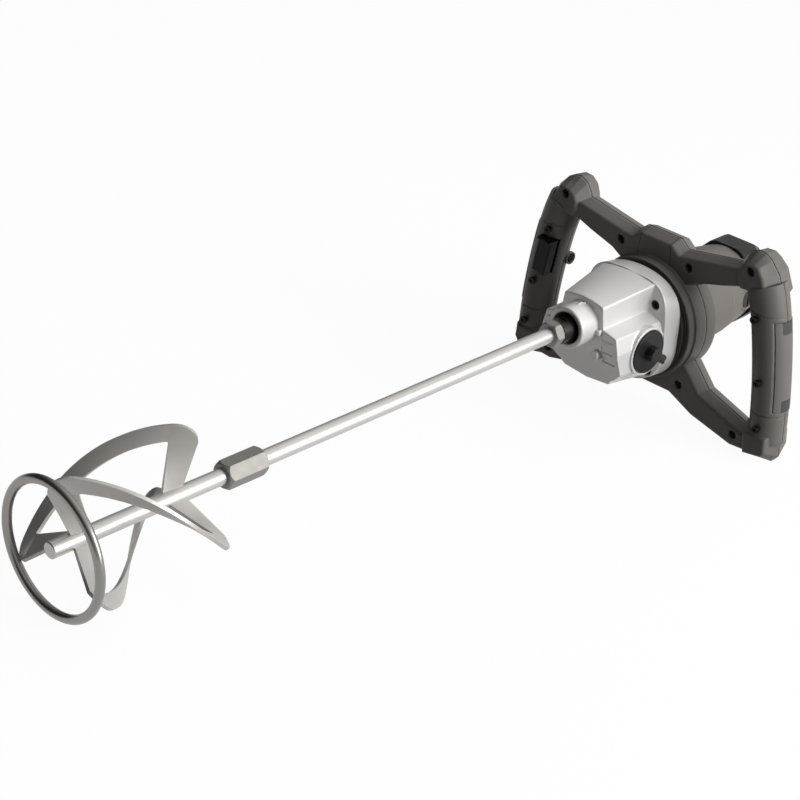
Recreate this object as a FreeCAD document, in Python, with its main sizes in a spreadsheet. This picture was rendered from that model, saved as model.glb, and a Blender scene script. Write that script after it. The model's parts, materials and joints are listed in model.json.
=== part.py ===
import FreeCAD, Part
import math
import os

import Sketcher
from FreeCAD import Placement, Rotation, Vector

# Mixing drill: two-speed gear case, motor, twin D-handle frame and a paddle with three twisted blades.
# Tool axes while building: origin on the spindle axis at the collar's front face, the spindle points to -Y,
# X to the right, Z up. At the end one placement lays the whole tool down on its feet and paddle ring.

# Driving dimensions in millimetres
SIZES = (
    # paddle
    ("paddle_diameter", 120), ("ring_wire", 8), ("ring_setback", 3.3),
    ("blade_width", 18.5), ("blade_rim_width", 13.5), ("blade_thickness", 3), ("blade_span", 119),
    ("blade_corner", 15), ("blade_inner_corner", 1.5), ("lower_arm_rake", 16), ("upper_arm_rake", 12),
    ("rod_diameter", 14), ("lower_rod_length", 171), ("upper_rod_length", 352),
    ("coupling_length", 41), ("coupling_flats", 22), ("coupling_chamfer", 1.6), ("rod_chamfer", 0.8),
    ("paddle_hex_flats", 22), ("paddle_hex_thickness", 10), ("thread_diameter", 14), ("thread_length", 18),
    # spindle
    ("nose_reach", 14), ("nose_diameter", 24), ("nose_flats", 21), ("nose_flat_length", 9),
    ("high_seat_diameter", 17), ("drive_flats", 14), ("low_seat_diameter", 13), ("rear_journal_diameter", 10),
    # bearings, seal and bushes
    ("front_bearing_diameter", 35), ("front_bearing_width", 10),
    ("rear_bearing_diameter", 22), ("rear_bearing_width", 7), ("armature_bearing_bore", 8),
    ("shield_depth", 0.6), ("race_wall", 2.6), ("seal_width", 6), ("seal_diameter", 33),
    ("bush_wall", 2.5), ("bush_length", 9), ("layshaft_diameter", 9),
    # gears
    ("module_fast", 1.0), ("module_slow", 1.25), ("motor_drop", 24),
    ("gear_width", 8), ("fast_width", 7), ("gear_gap", 3), ("front_spacer", 9.5), ("sleeve_room", 26),
    ("dog_length", 2.4), ("dog_width", 5), ("shift_travel", 6),
    ("sleeve_diameter", 30), ("groove_width", 4.6), ("groove_depth", 2.6),
    ("fork_thickness", 4), ("fork_band", 6), ("fork_arm", 8), ("fork_pad", 10), ("fork_leg_width", 4.6),
    ("rail_diameter", 6), ("rail_reach", 33), ("rail_drop", 11), ("rail_wall", 2),
    # gear case
    ("collar_diameter", 40), ("collar_length", 22.5), ("collar_bore", 31), ("collar_chamfer", 1),
    ("case_half_width", 49), ("case_drop", 77), ("case_wall", 3.5), ("case_front_web", 2),
    ("case_rear_land", 24), ("bearing_seat_wall", 4),
    ("plate_thickness", 11), ("plate_diameter", 84), ("joint_ring_diameter", 111),
    ("joint_ring_thickness", 6),
    ("plug_diameter", 9), ("plug_reach", 6), ("rib_thickness", 1.1), ("rib_height", 1.1), ("rib_leg", 5),
    ("case_screw_circle", 96), ("case_screw_diameter", 5), ("case_screw_head", 8), ("case_screw_pocket", 10),
    ("case_screw_length", 34), ("case_screw_sink", 6),
    # selector
    ("knob_diameter", 42), ("knob_thickness", 4), ("knob_hub_diameter", 15), ("knob_hub_height", 9),
    ("knob_wing_reach", 20), ("knob_wing_thickness", 9), ("knob_wing_height", 8), ("knob_rim", 2.2),
    ("knob_drop", 26), ("knob_face", 47.5), ("cam_diameter", 18), ("cam_length", 4),
    ("cam_pin_diameter", 4), ("cam_eccentric", 6), ("cam_pin_length", 5.2),
    # handle frame
    ("frame_half_width", 160), ("frame_drop", 121), ("frame_wall", 3), ("frame_face", 121), ("bar_depth", 14),
    ("bar_bulge", 4.5), ("head_stand", 3), ("foot_stand", 5), ("grip_diameter", 38),
    ("grip_foot_diameter", 35), ("groove_line_width", 0.7), ("groove_line_depth", 0.6),
    ("frame_edge_round", 3), ("ring_diameter", 121.6), ("lip_diameter", 119), ("lip_depth", 9),
    ("ring_bore", 112), ("ring_rear_depth", 15), ("ring_rear_wall", 4),
    ("screw_recess", 9), ("screw_recess_depth", 6), ("screw_shank", 3.6), ("screw_head", 7.4),
    ("screw_head_height", 2.6), ("screw_boss", 11.4), ("screw_length", 24),
    ("pad_thickness", 2), ("pad_proud", 0.6), ("pad_half_width", 13),
    # switch
    ("trigger_length", 39), ("trigger_width", 16), ("trigger_stand", 4.5), ("trigger_depth", 10.5),
    ("trigger_travel", 5), ("trigger_lip", 3), ("trigger_lip_depth", 3), ("trigger_drop", 7),
    ("trigger_inset", 6.5), ("trigger_round", 1.5),
    ("switch_depth", 10), ("switch_width", 12), ("switch_length", 43), ("switch_round", 0.8),
    ("button_diameter", 9), ("button_length", 9), ("button_stand", 3.4), ("button_travel", 2.4),
    ("button_rim", 1.6), ("button_back", 8), ("button_drop", 14),
    ("inlet_diameter", 9), ("inlet_bore", 6), ("inlet_flange", 1), ("inlet_length", 12),
    # motor
    ("fan_gap", 4), ("fan_diameter", 78), ("fan_width", 12), ("fan_hub", 20), ("fan_plate", 2),
    ("fan_blade", 1.6),
    ("baffle_thickness", 3), ("baffle_bore", 60), ("stator_gap", 5), ("stator_diameter", 82),
    ("stator_length", 45), ("stator_bore", 49), ("armature_diameter", 47.6), ("slot_width", 3.2),
    ("slot_depth", 7),
    ("coil_overhang", 9), ("coil_thickness", 7), ("brush_gap", 46), ("commutator_diameter", 26),
    ("commutator_length", 18), ("shaft_diameter", 11), ("brush_width", 6), ("brush_length", 10),
    ("brush_height", 9),
    ("brush_cap_diameter", 18), ("brush_cap_height", 3.4), ("brush_cap_stand", 0.8), ("brush_cap_slot", 2.2),
    ("holder_wall", 2), ("holder_gap", 2),
    ("barrel_diameter", 95), ("barrel_end_diameter", 88), ("barrel_wall", 3),
    ("seam_at", 201), ("brush_housing_length", 39), ("brush_housing_end_diameter", 76),
    ("cap_flats", 80), ("cap_round_diameter", 84), ("cap_end_flats", 62), ("cap_length", 35),
    ("cap_taper_length", 15), ("cap_wall", 3),
    ("cap_overlap", 3), ("cap_screw_circle", 50), ("cap_screw_diameter", 4), ("cap_screw_head", 7),
    ("cap_screw_head_height", 3), ("cap_screw_length", 40), ("cap_boss", 10), ("cap_boss_depth", 12),
    ("vent_width", 3), ("vent_inner", 34), ("vent_outer", 52),
    # clearances
    ("seat_gap", 0.05), ("run_gap", 0.06), ("slide_gap", 0.2), ("clear_gap", 0.4), ("overrun", 5),
)

# Counts and angles
BLADES = 3
BLADE_START = math.radians(89)
BLADE_TWIST = math.radians(-116)
CORNER_STEPS = 8
STRIP_STEPS = 30
TEETH = {"low": 38, "low_pinion": 16, "high": 32, "high_pinion": 22, "fast": 36, "motor_pinion": 6}
DOGS = 3
WING_LEAN = -34
POLE_HALF_ANGLE = math.radians(50)
SHIFT_TURN = math.radians(60)
STATOR_POLES = 2
ARMATURE_SLOTS = 12
FAN_BLADES = 11
CAP_SIDES = 8
CAP_SCREWS = 4
VENTS = 12

# Outlines as shares of the frame's half width and drop, right-hand side, clockwise from the top
TOP_YOKE_SHARES = (
    (0.0, 0.451), (0.116, 0.451), (0.176, 0.387), (0.637, 0.498),
    (0.637, 0.371), (0.492, 0.304), (0.315, 0.236), (0.244, 0.182), (0.0, 0.182),
)
LOW_YOKE_SHARES = (
    (0.0, -0.496), (0.319, -0.494), (0.440, -0.674), (0.738, -0.809), (0.838, -0.835),
    (0.838, -0.942), (0.703, -0.955), (0.406, -0.863), (0.227, -0.754), (0.0, -0.754),
)
HEAD_FACE_SHARES = (
    (0.612, 0.413), (0.606, 0.480), (0.625, 0.525), (0.656, 0.554), (0.700, 0.570),
    (0.737, 0.566), (0.769, 0.504), (0.788, 0.438), (0.731, 0.372), (0.638, 0.364),
)
HEAD_PART_SHARES = (
    (0.556, 0.413), (0.572, 0.545), (0.609, 0.620), (0.663, 0.653), (0.713, 0.645),
    (0.756, 0.612), (0.819, 0.521), (0.869, 0.372), (0.856, 0.289), (0.575, 0.298),
)
HEAD_REAR_SHARES = (
    (0.581, 0.413), (0.588, 0.496), (0.606, 0.570), (0.650, 0.624), (0.706, 0.632),
    (0.750, 0.603), (0.806, 0.545), (0.856, 0.397), (0.825, 0.314), (0.600, 0.331),
)
FOOT_FACE_SHARES = ((0.803, -0.764), (0.960, -0.764), (0.966, -0.870), (0.945, -0.912), (0.822, -0.942))
FOOT_PART_SHARES = ((0.756, -0.736), (0.988, -0.711), (1.0, -0.934), (0.956, -1.0), (0.769, -1.0))
GRIP_LINE_SHARES = (
    (0.744, 0.413), (0.769, 0.331), (0.816, 0.099), (0.856, -0.198), (0.887, -0.537), (0.900, -0.826),
)
GRIP_GROOVE_SHARES = (0.22, -0.58)
SCREW_SHARES = (
    (0.690, 0.521), (0.777, 0.177), (0.861, -0.317), (0.897, -0.694),
    (0.254, 0.331), (0.291, -0.662), (0.719, -0.863),
)

# Gear case sections as shares of its half width and drop
TOWER_FRONT_SHARES = ((0.0, 0.325), (0.465, 0.278), (0.520, 0.013), (0.520, -0.195), (0.0, -0.195))
TOWER_REAR_SHARES = ((0.0, 0.429), (0.633, 0.385), (0.560, 0.060), (0.560, -0.195), (0.0, -0.195))
TOWER_END_SHARES = ((0.0, 0.425), (0.560, 0.360), (0.560, 0.060), (0.560, -0.195), (0.0, -0.195))
BODY_FRONT_SHARES = (
    (0.0, 0.0), (0.531, 0.010), (0.849, -0.043), (0.924, -0.239), (0.908, -0.532),
    (0.531, -0.753), (0.0, -0.792),
)
BODY_REAR_SHARES = (
    (0.0, 0.052), (0.571, 0.052), (0.867, -0.052), (0.98, -0.234), (0.945, -0.600),
    (0.571, -0.890), (0.0, -0.935),
)
LAND_FRONT_SHARES = (
    (0.0, 0.433), (0.347, 0.425), (0.640, 0.389), (0.845, 0.279), (0.945, 0.09),
    (0.985, -0.2), (0.97, -0.58), (0.82, -0.785), (0.50, -0.915), (0.0, -0.965),
)
LAND_REAR_SHARES = (
    (0.0, 0.433), (0.408, 0.405), (0.714, 0.325), (0.939, 0.175), (1.031, -0.013),
    (1.041, -0.26), (1.010, -0.584), (0.867, -0.785), (0.54, -0.925), (0.0, -0.98),
)
SET_BACK_SHARE = 0.2
RAKE_TOP_SHARE = 0.27
RAKE_SLOPE_SHARE = 0.40
RIB_SHARES = (-0.13, -0.28, -0.43)
RIB_REACH_SHARES = (0.52, 0.80)

# Other shares: grip pads along the grip, and a cross recess across its screw head
PAD_TOP_SHARE = 0.55
PAD_LOW_SHARE = 1.0
CROSS_SHARES = (
    (0.0, 0.3), (0.08, 0.3), (0.08, 0.08), (0.3, 0.08), (0.3, -0.08), (0.08, -0.08),
    (0.08, -0.3), (0.0, -0.3),
)

# Tooth shares of the module and of the pitch, and the flank's angle
TOOTH_TIP_SHARE = 0.95
TOOTH_ROOT_SHARE = 1.2
TOOTH_WIDTH_SHARE = 0.86
FLANK_ANGLE = math.radians(20)
PLANE_TOLERANCE_SHARE = 0.01

doc = FreeCAD.newDocument("mixing_drill")
sheet = doc.addObject("Spreadsheet::Sheet", "Sizes")
for row, (alias, number) in enumerate(SIZES, start=1):
    sheet.set(f"A{row}", alias)
    sheet.set(f"B{row}", str(number))
    sheet.setAlias(f"B{row}", alias)
doc.recompute()


def size(alias):
    return float(sheet.get(alias))


def bound(expression):
    """Put the sheet's name before each alias, so the text can be bound to a property."""
    names = {alias for alias, _ in SIZES}
    text = ""
    word = ""
    for sign in expression + " ":
        if sign.isalnum() or sign == "_":
            word += sign
            continue
        text += ("Sizes." + word if word in names else word) + sign
        word = ""
    return text.strip()


def number_of(expression):
    return float(sheet.evalExpression(bound(expression)))


pieces = {}


def keep(label, item, place=Placement()):
    item.Label = label
    item.Placement = place
    pieces[label] = item
    return item


def at(x, y, z):
    return Placement(Vector(x, y, z), Rotation())


def feature(label, shape, place=Placement()):
    item = doc.addObject("Part::Feature", label)
    item.Shape = shape
    return keep(label, item, place)


def turned_body(name, outline):
    """Body turned about its own Y axis. The outline is (radius, distance along the axis) in sheet terms."""
    body = doc.addObject("PartDesign::Body", name)
    plane = next(item for item in body.Origin.OriginFeatures if item.Role == "XY_Plane")
    sketch = body.newObject("Sketcher::SketchObject", name + "_outline")
    sketch.AttachmentSupport = [(plane, "")]
    sketch.MapMode = "FlatFace"
    points = [Vector(number_of(radius), number_of(along), 0) for radius, along in outline]
    count = len(points)
    for index, point in enumerate(points):
        sketch.addGeometry(Part.LineSegment(point, points[(index + 1) % count]), False)
    for index in range(count):
        sketch.addConstraint(Sketcher.Constraint("Coincident", index, 2, (index + 1) % count, 1))
    for index, terms in enumerate(outline):
        for kind, axis, term in zip(("DistanceX", "DistanceY"), (-2, -1), terms):
            if number_of(term) == 0:
                sketch.addConstraint(Sketcher.Constraint("PointOnObject", index, 1, axis))
                continue
            rule = sketch.addConstraint(Sketcher.Constraint(kind, -1, 1, index, 1, number_of(term)))
            sketch.renameConstraint(rule, f"{kind}_{index}")
            sketch.setExpression(f"Constraints.{kind}_{index}", bound(term))
    turn = body.newObject("PartDesign::Revolution", name + "_turn")
    turn.Profile = sketch
    turn.ReferenceAxis = (sketch, ["V_Axis"])
    turn.Angle = 360
    body.Tip = turn
    return body


def turned(label, outline, place):
    return keep(label, turned_body(label, outline), place)


def bound_solid(kind, name, terms, place=Placement()):
    """Primitive whose properties are bound to the sheet."""
    item = doc.addObject(kind, name)
    for prop, term in terms.items():
        item.setExpression(prop, bound(term))
    item.Placement = place
    return item


def cut(name, base, tool):
    item = doc.addObject("Part::Cut", name)
    item.Base = base
    item.Tool = tool
    return item


def common(name, base, tool):
    item = doc.addObject("Part::Common", name)
    item.Base = base
    item.Tool = tool
    return item


along_y = Rotation(Vector(1, 0, 0), -90)


def rod_shape(radius, start, length, x=0.0, z=0.0):
    return Part.makeCylinder(radius, length, Vector(x, start, z), Vector(0, 1, 0))


def cross_rod(radius, start, length, y, z):
    return Part.makeCylinder(radius, length, Vector(start, y, z), Vector(1, 0, 0))


def block(low, high):
    return Part.makeBox(high[0] - low[0], high[1] - low[1], high[2] - low[2], Vector(*low))


def scaled(shares, wide, tall):
    return [(x * wide, z * tall) for x, z in shares]


def both_sides(right):
    """Close a right-hand outline that starts and ends on the middle line with its mirror image."""
    left = [(-x, z) for x, z in reversed(right) if x > 0]
    return list(right) + left


def swapped(points):
    return [(-x, z) for x, z in reversed(points)]


def grown(points, distance):
    """Outline moved outwards by a distance, each side parallel to itself."""
    count = len(points)
    area = sum(a[0] * b[1] - b[0] * a[1] for a, b in zip(points, points[1:] + points[:1]))
    side = math.copysign(1, area)
    moved = []
    for index in range(count):
        before, here, after = points[index - 1], points[index], points[(index + 1) % count]
        first = Vector(here[0] - before[0], here[1] - before[1], 0).normalize()
        second = Vector(after[0] - here[0], after[1] - here[1], 0).normalize()
        out_first = Vector(first.y, -first.x, 0) * side
        out_second = Vector(second.y, -second.x, 0) * side
        spread = (out_first + out_second) / (1 + out_first.dot(out_second))
        moved.append((here[0] + spread.x * distance, here[1] + spread.y * distance))
    return moved


def outline_at(points, y):
    corners = [Vector(x, y, z) for x, z in points]
    return Part.makePolygon(corners + corners[:1])


def prism(points, start, length):
    return Part.Face(outline_at(points, start)).extrude(Vector(0, length, 0))


def ruled(first, start, second, end):
    return Part.makeLoft([outline_at(first, start), outline_at(second, end)], True, True)


def rounded_front(solid, start, radius):
    """Round the edges of the flat face that lies at the start plane."""
    near = radius * PLANE_TOLERANCE_SHARE
    edges = [edge for edge in solid.Edges if all(abs(v.Y - start) < near for v in edge.Vertexes)]
    return solid.makeFillet(radius, edges)


def hexagon(radius):
    return [(radius * math.cos(k * math.pi / 3), radius * math.sin(k * math.pi / 3)) for k in range(6)]


def joined(solids):
    return solids[0].multiFuse(solids[1:]).removeSplitter()


# Places along the spindle, worked out from the chain of widths
front_bearing_at = size("collar_length") + size("case_front_web")
high_gear_at = front_bearing_at + size("front_bearing_width") + size("front_spacer")
sleeve_room_at = high_gear_at + size("gear_width")
low_gear_at = sleeve_room_at + size("sleeve_room")
fast_gear_at = low_gear_at + size("gear_width") + size("gear_gap")
plate_at = fast_gear_at + size("fast_width") + size("gear_gap")
MOTOR_FACE = (
    "(collar_length + case_front_web + front_bearing_width + front_spacer + 2 * gear_width + sleeve_room"
    " + 2 * gear_gap + fast_width + plate_thickness)"
)
motor_face = number_of(MOTOR_FACE)
knob_at = sleeve_room_at + size("sleeve_room") / 2
parting = size("frame_face") + size("bar_depth")
motor_z = -size("motor_drop")

# Centre of the layshaft: in mesh with the motor pinion and with both gears on the spindle
slow_centres = size("module_slow") * (TEETH["low"] + TEETH["low_pinion"]) / 2
fast_centres = size("module_fast") * (TEETH["fast"] + TEETH["motor_pinion"]) / 2
layshaft_z = (fast_centres ** 2 - slow_centres ** 2 - motor_z ** 2) / (-2 * motor_z)
layshaft_x = math.sqrt(slow_centres ** 2 - layshaft_z ** 2)

# Paddle places: everything hangs off the front of the nose
nose_front = -size("nose_reach")
hex_front = nose_front - size("paddle_hex_thickness")
coupling_rear = hex_front - size("upper_rod_length")
coupling_front = coupling_rear - size("coupling_length")
rod_tip = coupling_front - size("lower_rod_length")
ring_at = rod_tip + size("ring_setback")
ring_radius = (size("paddle_diameter") - size("ring_wire")) / 2

# Paddle ring: a round bar bent to a circle
ring_bar = bound_solid(
    "Part::Torus", "paddle_ring",
    {"Radius1": "(paddle_diameter - ring_wire) / 2", "Radius2": "ring_wire / 2"},
)
keep("paddle_ring", ring_bar, Placement(Vector(0, ring_at, 0), along_y))


def steps(first, last, count):
    return [first + (last - first) * step / count for step in range(1, count + 1)]


def blade_shape(start_angle):
    """Strip cut to a C and twisted about the rod, on a helicoid; its low corner meets the ring."""
    half_width = size("blade_width") / 2
    inner = size("rod_diameter") / 2 - size("blade_thickness") / 2
    outer = ring_radius + size("ring_wire") / 2
    inside = outer - size("blade_rim_width")
    round_out, round_in = size("blade_corner"), size("blade_inner_corner")
    touch = round_out + size("ring_wire") / 2 - size("seat_gap")
    low = ring_at + math.sqrt(touch ** 2 - (ring_radius - outer + round_out) ** 2) - round_out + half_width
    high = low + size("blade_span")
    out_low, out_high = low - half_width + round_out, high + half_width - round_out
    in_low, in_high = low + half_width + round_in, high - half_width - round_in
    quarter = [math.pi / 2 * step / CORNER_STEPS for step in range(CORNER_STEPS + 1)]

    # Pairs of points on the inside edge and the outside edge, each (radius, distance along the rod)
    low_root, high_root = low + size("lower_arm_rake"), high - size("upper_arm_rake")
    edges = [((inner, low_root + half_width), (inner, low_root - half_width))]
    edges += [
        ((inside - round_in + round_in * math.sin(turn), in_low - round_in * math.cos(turn)),
         (outer - round_out + round_out * math.sin(turn), out_low - round_out * math.cos(turn)))
        for turn in quarter
    ]
    edges += [
        ((inside, in_y), (outer, out_y))
        for in_y, out_y in zip(steps(in_low, in_high, STRIP_STEPS), steps(out_low, out_high, STRIP_STEPS))
    ]
    edges += [
        ((inside - round_in + round_in * math.cos(turn), in_high + round_in * math.sin(turn)),
         (outer - round_out + round_out * math.cos(turn), out_high + round_out * math.sin(turn)))
        for turn in quarter[1:]
    ]
    edges.append(((inner, high_root - half_width), (inner, high_root + half_width)))

    rate = BLADE_TWIST / size("blade_span")

    def on_blade(point, side):
        radius, along = point
        angle = start_angle + rate * (along - low)
        outward = Vector(math.cos(angle), 0, math.sin(angle))
        forward = Vector(0, 1, 0) + Vector(-math.sin(angle), 0, math.cos(angle)) * (rate * radius)
        face = outward.cross(forward).normalize()
        return outward * radius + Vector(0, along, 0) + face * (side * size("blade_thickness") / 2)

    sections = []
    for inside_point, outside_point in edges:
        corners = [
            on_blade(inside_point, 1), on_blade(inside_point, -1),
            on_blade(outside_point, -1), on_blade(outside_point, 1),
        ]
        sections.append(Part.makePolygon(corners + corners[:1]))
    blade = Part.makeLoft(sections, True, True)
    rod = rod_shape(
        size("rod_diameter") / 2 + size("seat_gap"), rod_tip - size("overrun"), size("lower_rod_length"),
    )
    ring = Part.makeTorus(
        ring_radius, size("ring_wire") / 2 + size("seat_gap"), Vector(0, ring_at, 0), Vector(0, 1, 0),
    )
    return blade.cut(rod).cut(ring)


for index in range(BLADES):
    feature(f"paddle_blade_{index + 1}", blade_shape(BLADE_START + 2 * math.pi * index / BLADES))

# Rods: round bar, the ends inside the coupling meet at its middle
turned("paddle_lower_rod", (
    ("0", "0"), ("rod_diameter / 2 - rod_chamfer", "0"), ("rod_diameter / 2", "rod_chamfer"),
    ("rod_diameter / 2", "lower_rod_length + coupling_length / 2"),
    ("0", "lower_rod_length + coupling_length / 2"),
), at(0, rod_tip, 0))
turned("paddle_upper_rod", (
    ("0", "0"), ("rod_diameter / 2", "0"),
    ("rod_diameter / 2", "upper_rod_length + coupling_length / 2"),
    ("0", "upper_rod_length + coupling_length / 2"),
), at(0, coupling_rear - size("coupling_length") / 2, 0))


def hex_bar(label, flats, length, place, outline):
    """Hexagon bar whose ends are turned to the outline."""
    bar = bound_solid(
        "Part::Prism", label + "_bar", {"Circumradius": f"{flats} / 3 ^ 0.5", "Height": length},
        Placement(Vector(), along_y),
    )
    bar.Polygon = 6
    item = common(label, bar, turned_body(label + "_ends", outline))
    return keep(label, item, place)


hex_bar("rod_coupling", "coupling_flats", "coupling_length", at(0, coupling_front, 0), (
    ("rod_diameter / 2 + seat_gap", "0"), ("coupling_flats / 2 - coupling_chamfer / 2", "0"),
    ("coupling_flats / 3 ^ 0.5", "2 * coupling_chamfer"),
    ("coupling_flats / 3 ^ 0.5", "coupling_length - coupling_chamfer"),
    ("coupling_flats / 2", "coupling_length"), ("rod_diameter / 2 + seat_gap", "coupling_length"),
))
hex_bar("paddle_hex", "paddle_hex_flats", "paddle_hex_thickness + thread_length", at(0, hex_front, 0), (
    ("0", "0"), ("paddle_hex_flats / 2", "0"), ("paddle_hex_flats / 3 ^ 0.5", "coupling_chamfer"),
    ("paddle_hex_flats / 3 ^ 0.5", "paddle_hex_thickness - coupling_chamfer"),
    ("paddle_hex_flats / 2", "paddle_hex_thickness"),
    ("thread_diameter / 2 - seat_gap", "paddle_hex_thickness"),
    ("thread_diameter / 2 - seat_gap", "paddle_hex_thickness + thread_length - rod_chamfer"),
    ("thread_diameter / 2 - rod_chamfer", "paddle_hex_thickness + thread_length"),
    ("0", "paddle_hex_thickness + thread_length"),
))


def spindle_shape():
    """Turned spindle with flats on its nose, a threaded socket and a hexagonal drive for the shift sleeve."""
    nose_end = front_bearing_at
    seat = size("high_seat_diameter") / 2
    low_seat = size("low_seat_diameter") / 2
    tail = size("rear_journal_diameter") / 2
    nose = rod_shape(size("nose_diameter") / 2, nose_front, nose_end - nose_front)
    flat = size("nose_flats") / 2
    reach = size("nose_diameter")
    for side in (1, -1):
        low_edge, high_edge = sorted((side * flat, side * reach))
        nose = nose.cut(block(
            (-reach, nose_front - size("overrun"), low_edge),
            (reach, nose_front + size("nose_flat_length"), high_edge),
        ))
    drive_at = sleeve_room_at
    drive = hexagon(size("drive_flats") / math.sqrt(3))
    solids = [
        nose,
        rod_shape(seat, nose_end, drive_at - nose_end),
        prism(drive, drive_at, low_gear_at - drive_at),
        rod_shape(low_seat, low_gear_at, size("gear_width")),
        rod_shape(tail, low_gear_at + size("gear_width"),
                  plate_at + size("rear_bearing_width") - low_gear_at - size("gear_width")),
    ]
    socket = rod_shape(
        size("thread_diameter") / 2, nose_front - size("overrun"),
        size("overrun") + size("thread_length") + size("clear_gap"),
    )
    return joined(solids).cut(socket)


feature("output_spindle", spindle_shape())


def gear_outline(teeth, module, phase):
    """Straight-flanked teeth, thinned for backlash. The first tooth points at the phase angle."""
    pitch_radius = module * teeth / 2
    tip = pitch_radius + module * TOOTH_TIP_SHARE
    root = pitch_radius - module * TOOTH_ROOT_SHARE
    half_pitch_tooth = math.pi / teeth / 2 * TOOTH_WIDTH_SHARE
    slope = math.tan(FLANK_ANGLE)
    points = []
    for tooth in range(teeth):
        middle = phase + 2 * math.pi * tooth / teeth
        for radius, sign in ((root, -1), (tip, -1), (tip, 1), (root, 1)):
            half = half_pitch_tooth + (pitch_radius - radius) * slope / pitch_radius
            points.append((radius * math.cos(middle + sign * half), radius * math.sin(middle + sign * half)))
    return points


def toothed(teeth, module, phase, start, width, x, z):
    points = [(px + x, pz + z) for px, pz in gear_outline(teeth, module, phase)]
    return prism(points, start, width)


# Angles at which each pair meets: a tooth of one faces a gap of the other
to_layshaft = math.atan2(layshaft_z, layshaft_x)
to_motor = math.atan2(motor_z - layshaft_z, -layshaft_x)


def facing_gap(teeth, direction):
    return direction + math.pi / teeth


def dog_slots(radius, start, depth, grow):
    """Bars across the face at each dog's place."""
    slots = []
    width = size("dog_width") + 2 * grow
    for dog in range(DOGS):
        bar = block((0, start, -width / 2), (radius, start + depth, width / 2))
        bar.rotate(Vector(), Vector(0, 1, 0), 360 * dog / DOGS)
        slots.append(bar)
    return slots[0].multiFuse(slots[1:])


def spindle_gear(name, teeth_key, start, bore_radius, slot_start):
    teeth = TEETH[teeth_key]
    gear = toothed(teeth, size("module_slow"), to_layshaft, start, size("gear_width"), 0, 0)
    bore = rod_shape(bore_radius, start - size("overrun"), size("gear_width") + 2 * size("overrun"))
    slots = dog_slots(
        size("sleeve_diameter") / 2 + size("clear_gap"), slot_start, size("dog_length") + size("clear_gap"),
        size("slide_gap"),
    )
    hub = rod_shape(size("drive_flats") / math.sqrt(3) + size("clear_gap"), slot_start - size("overrun"),
                    2 * size("overrun") + size("gear_width"))
    return feature(name, gear.cut(bore).cut(slots.cut(hub)))


spindle_gear("low_gear", "low", low_gear_at, size("low_seat_diameter") / 2 + size("seat_gap"), low_gear_at)
spindle_gear(
    "high_gear", "high", high_gear_at, size("high_seat_diameter") / 2 + size("run_gap"),
    sleeve_room_at - size("dog_length") - size("clear_gap"),
)


def sleeve_shape():
    """Shift sleeve: hexagonal bore, a groove for the fork and dogs on both faces, set in the low gear."""
    rear = low_gear_at - size("slide_gap")
    front = sleeve_room_at + size("clear_gap") + size("shift_travel") + size("dog_length")
    outer = size("sleeve_diameter") / 2
    body = rod_shape(outer, front, rear - front)
    groove_mid = knob_at + size("shift_travel") / 2
    groove = rod_shape(outer + size("overrun"), groove_mid - size("groove_width") / 2, size("groove_width"))
    groove = groove.cut(rod_shape(outer - size("groove_depth"), front, rear - front))
    ring = rod_shape(outer, front - size("dog_length"), rear - front + 2 * size("dog_length"))
    dogs = [
        dog_slots(outer + size("overrun"), start, size("dog_length"), 0).common(ring)
        for start in (front - size("dog_length"), rear)
    ]
    bore_radius = (size("drive_flats") + 2 * size("slide_gap")) / math.sqrt(3)
    hole = prism(hexagon(bore_radius), front - size("overrun"), rear - front + 2 * size("overrun"))
    clear = rod_shape(bore_radius + size("clear_gap"), front - size("overrun"), size("overrun"))
    clear = clear.fuse(rod_shape(bore_radius + size("clear_gap"), rear, size("overrun")))
    return joined([body.cut(groove)] + dogs).cut(hole).cut(clear)


feature("shift_sleeve", sleeve_shape())


def layshaft_shape():
    """Layshaft with both slow pinions cut on it and a seat for the fast gear."""
    radius = size("layshaft_diameter") / 2
    start = front_bearing_at + size("front_bearing_width") + size("clear_gap")
    end = plate_at + size("bush_length") - size("clear_gap")
    shaft = rod_shape(radius, start, end - start, layshaft_x, layshaft_z)
    away = to_layshaft + math.pi
    pinions = [
        toothed(TEETH[key], size("module_slow"), facing_gap(TEETH[key], away), place, size("gear_width"),
                layshaft_x, layshaft_z)
        for key, place in (("high_pinion", high_gear_at), ("low_pinion", low_gear_at))
    ]
    return joined([shaft] + pinions)


feature("layshaft", layshaft_shape())
fast_gear = toothed(
    TEETH["fast"], size("module_fast"), to_motor, fast_gear_at, size("fast_width"), layshaft_x, layshaft_z,
).cut(rod_shape(
    size("layshaft_diameter") / 2 + size("seat_gap"), fast_gear_at - size("overrun"),
    size("fast_width") + 2 * size("overrun"), layshaft_x, layshaft_z,
))
feature("layshaft_gear", fast_gear)


def bearing(label, outside, bore, width, place):
    """Ball bearing as one ring, its shields set back between the races."""
    turned(label, (
        (f"{bore} / 2 + run_gap", "0"), (f"{bore} / 2 + race_wall", "0"),
        (f"{bore} / 2 + race_wall", "shield_depth"), (f"{outside} / 2 - race_wall", "shield_depth"),
        (f"{outside} / 2 - race_wall", "0"), (f"{outside} / 2", "0"),
        (f"{outside} / 2", width), (f"{outside} / 2 - race_wall", width),
        (f"{outside} / 2 - race_wall", f"{width} - shield_depth"),
        (f"{bore} / 2 + race_wall", f"{width} - shield_depth"), (f"{bore} / 2 + race_wall", width),
        (f"{bore} / 2 + run_gap", width),
    ), place)


def ring_piece(label, outside, inside, length, place):
    turned(label, ((inside, "0"), (outside, "0"), (outside, length), (inside, length)), place)


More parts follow.
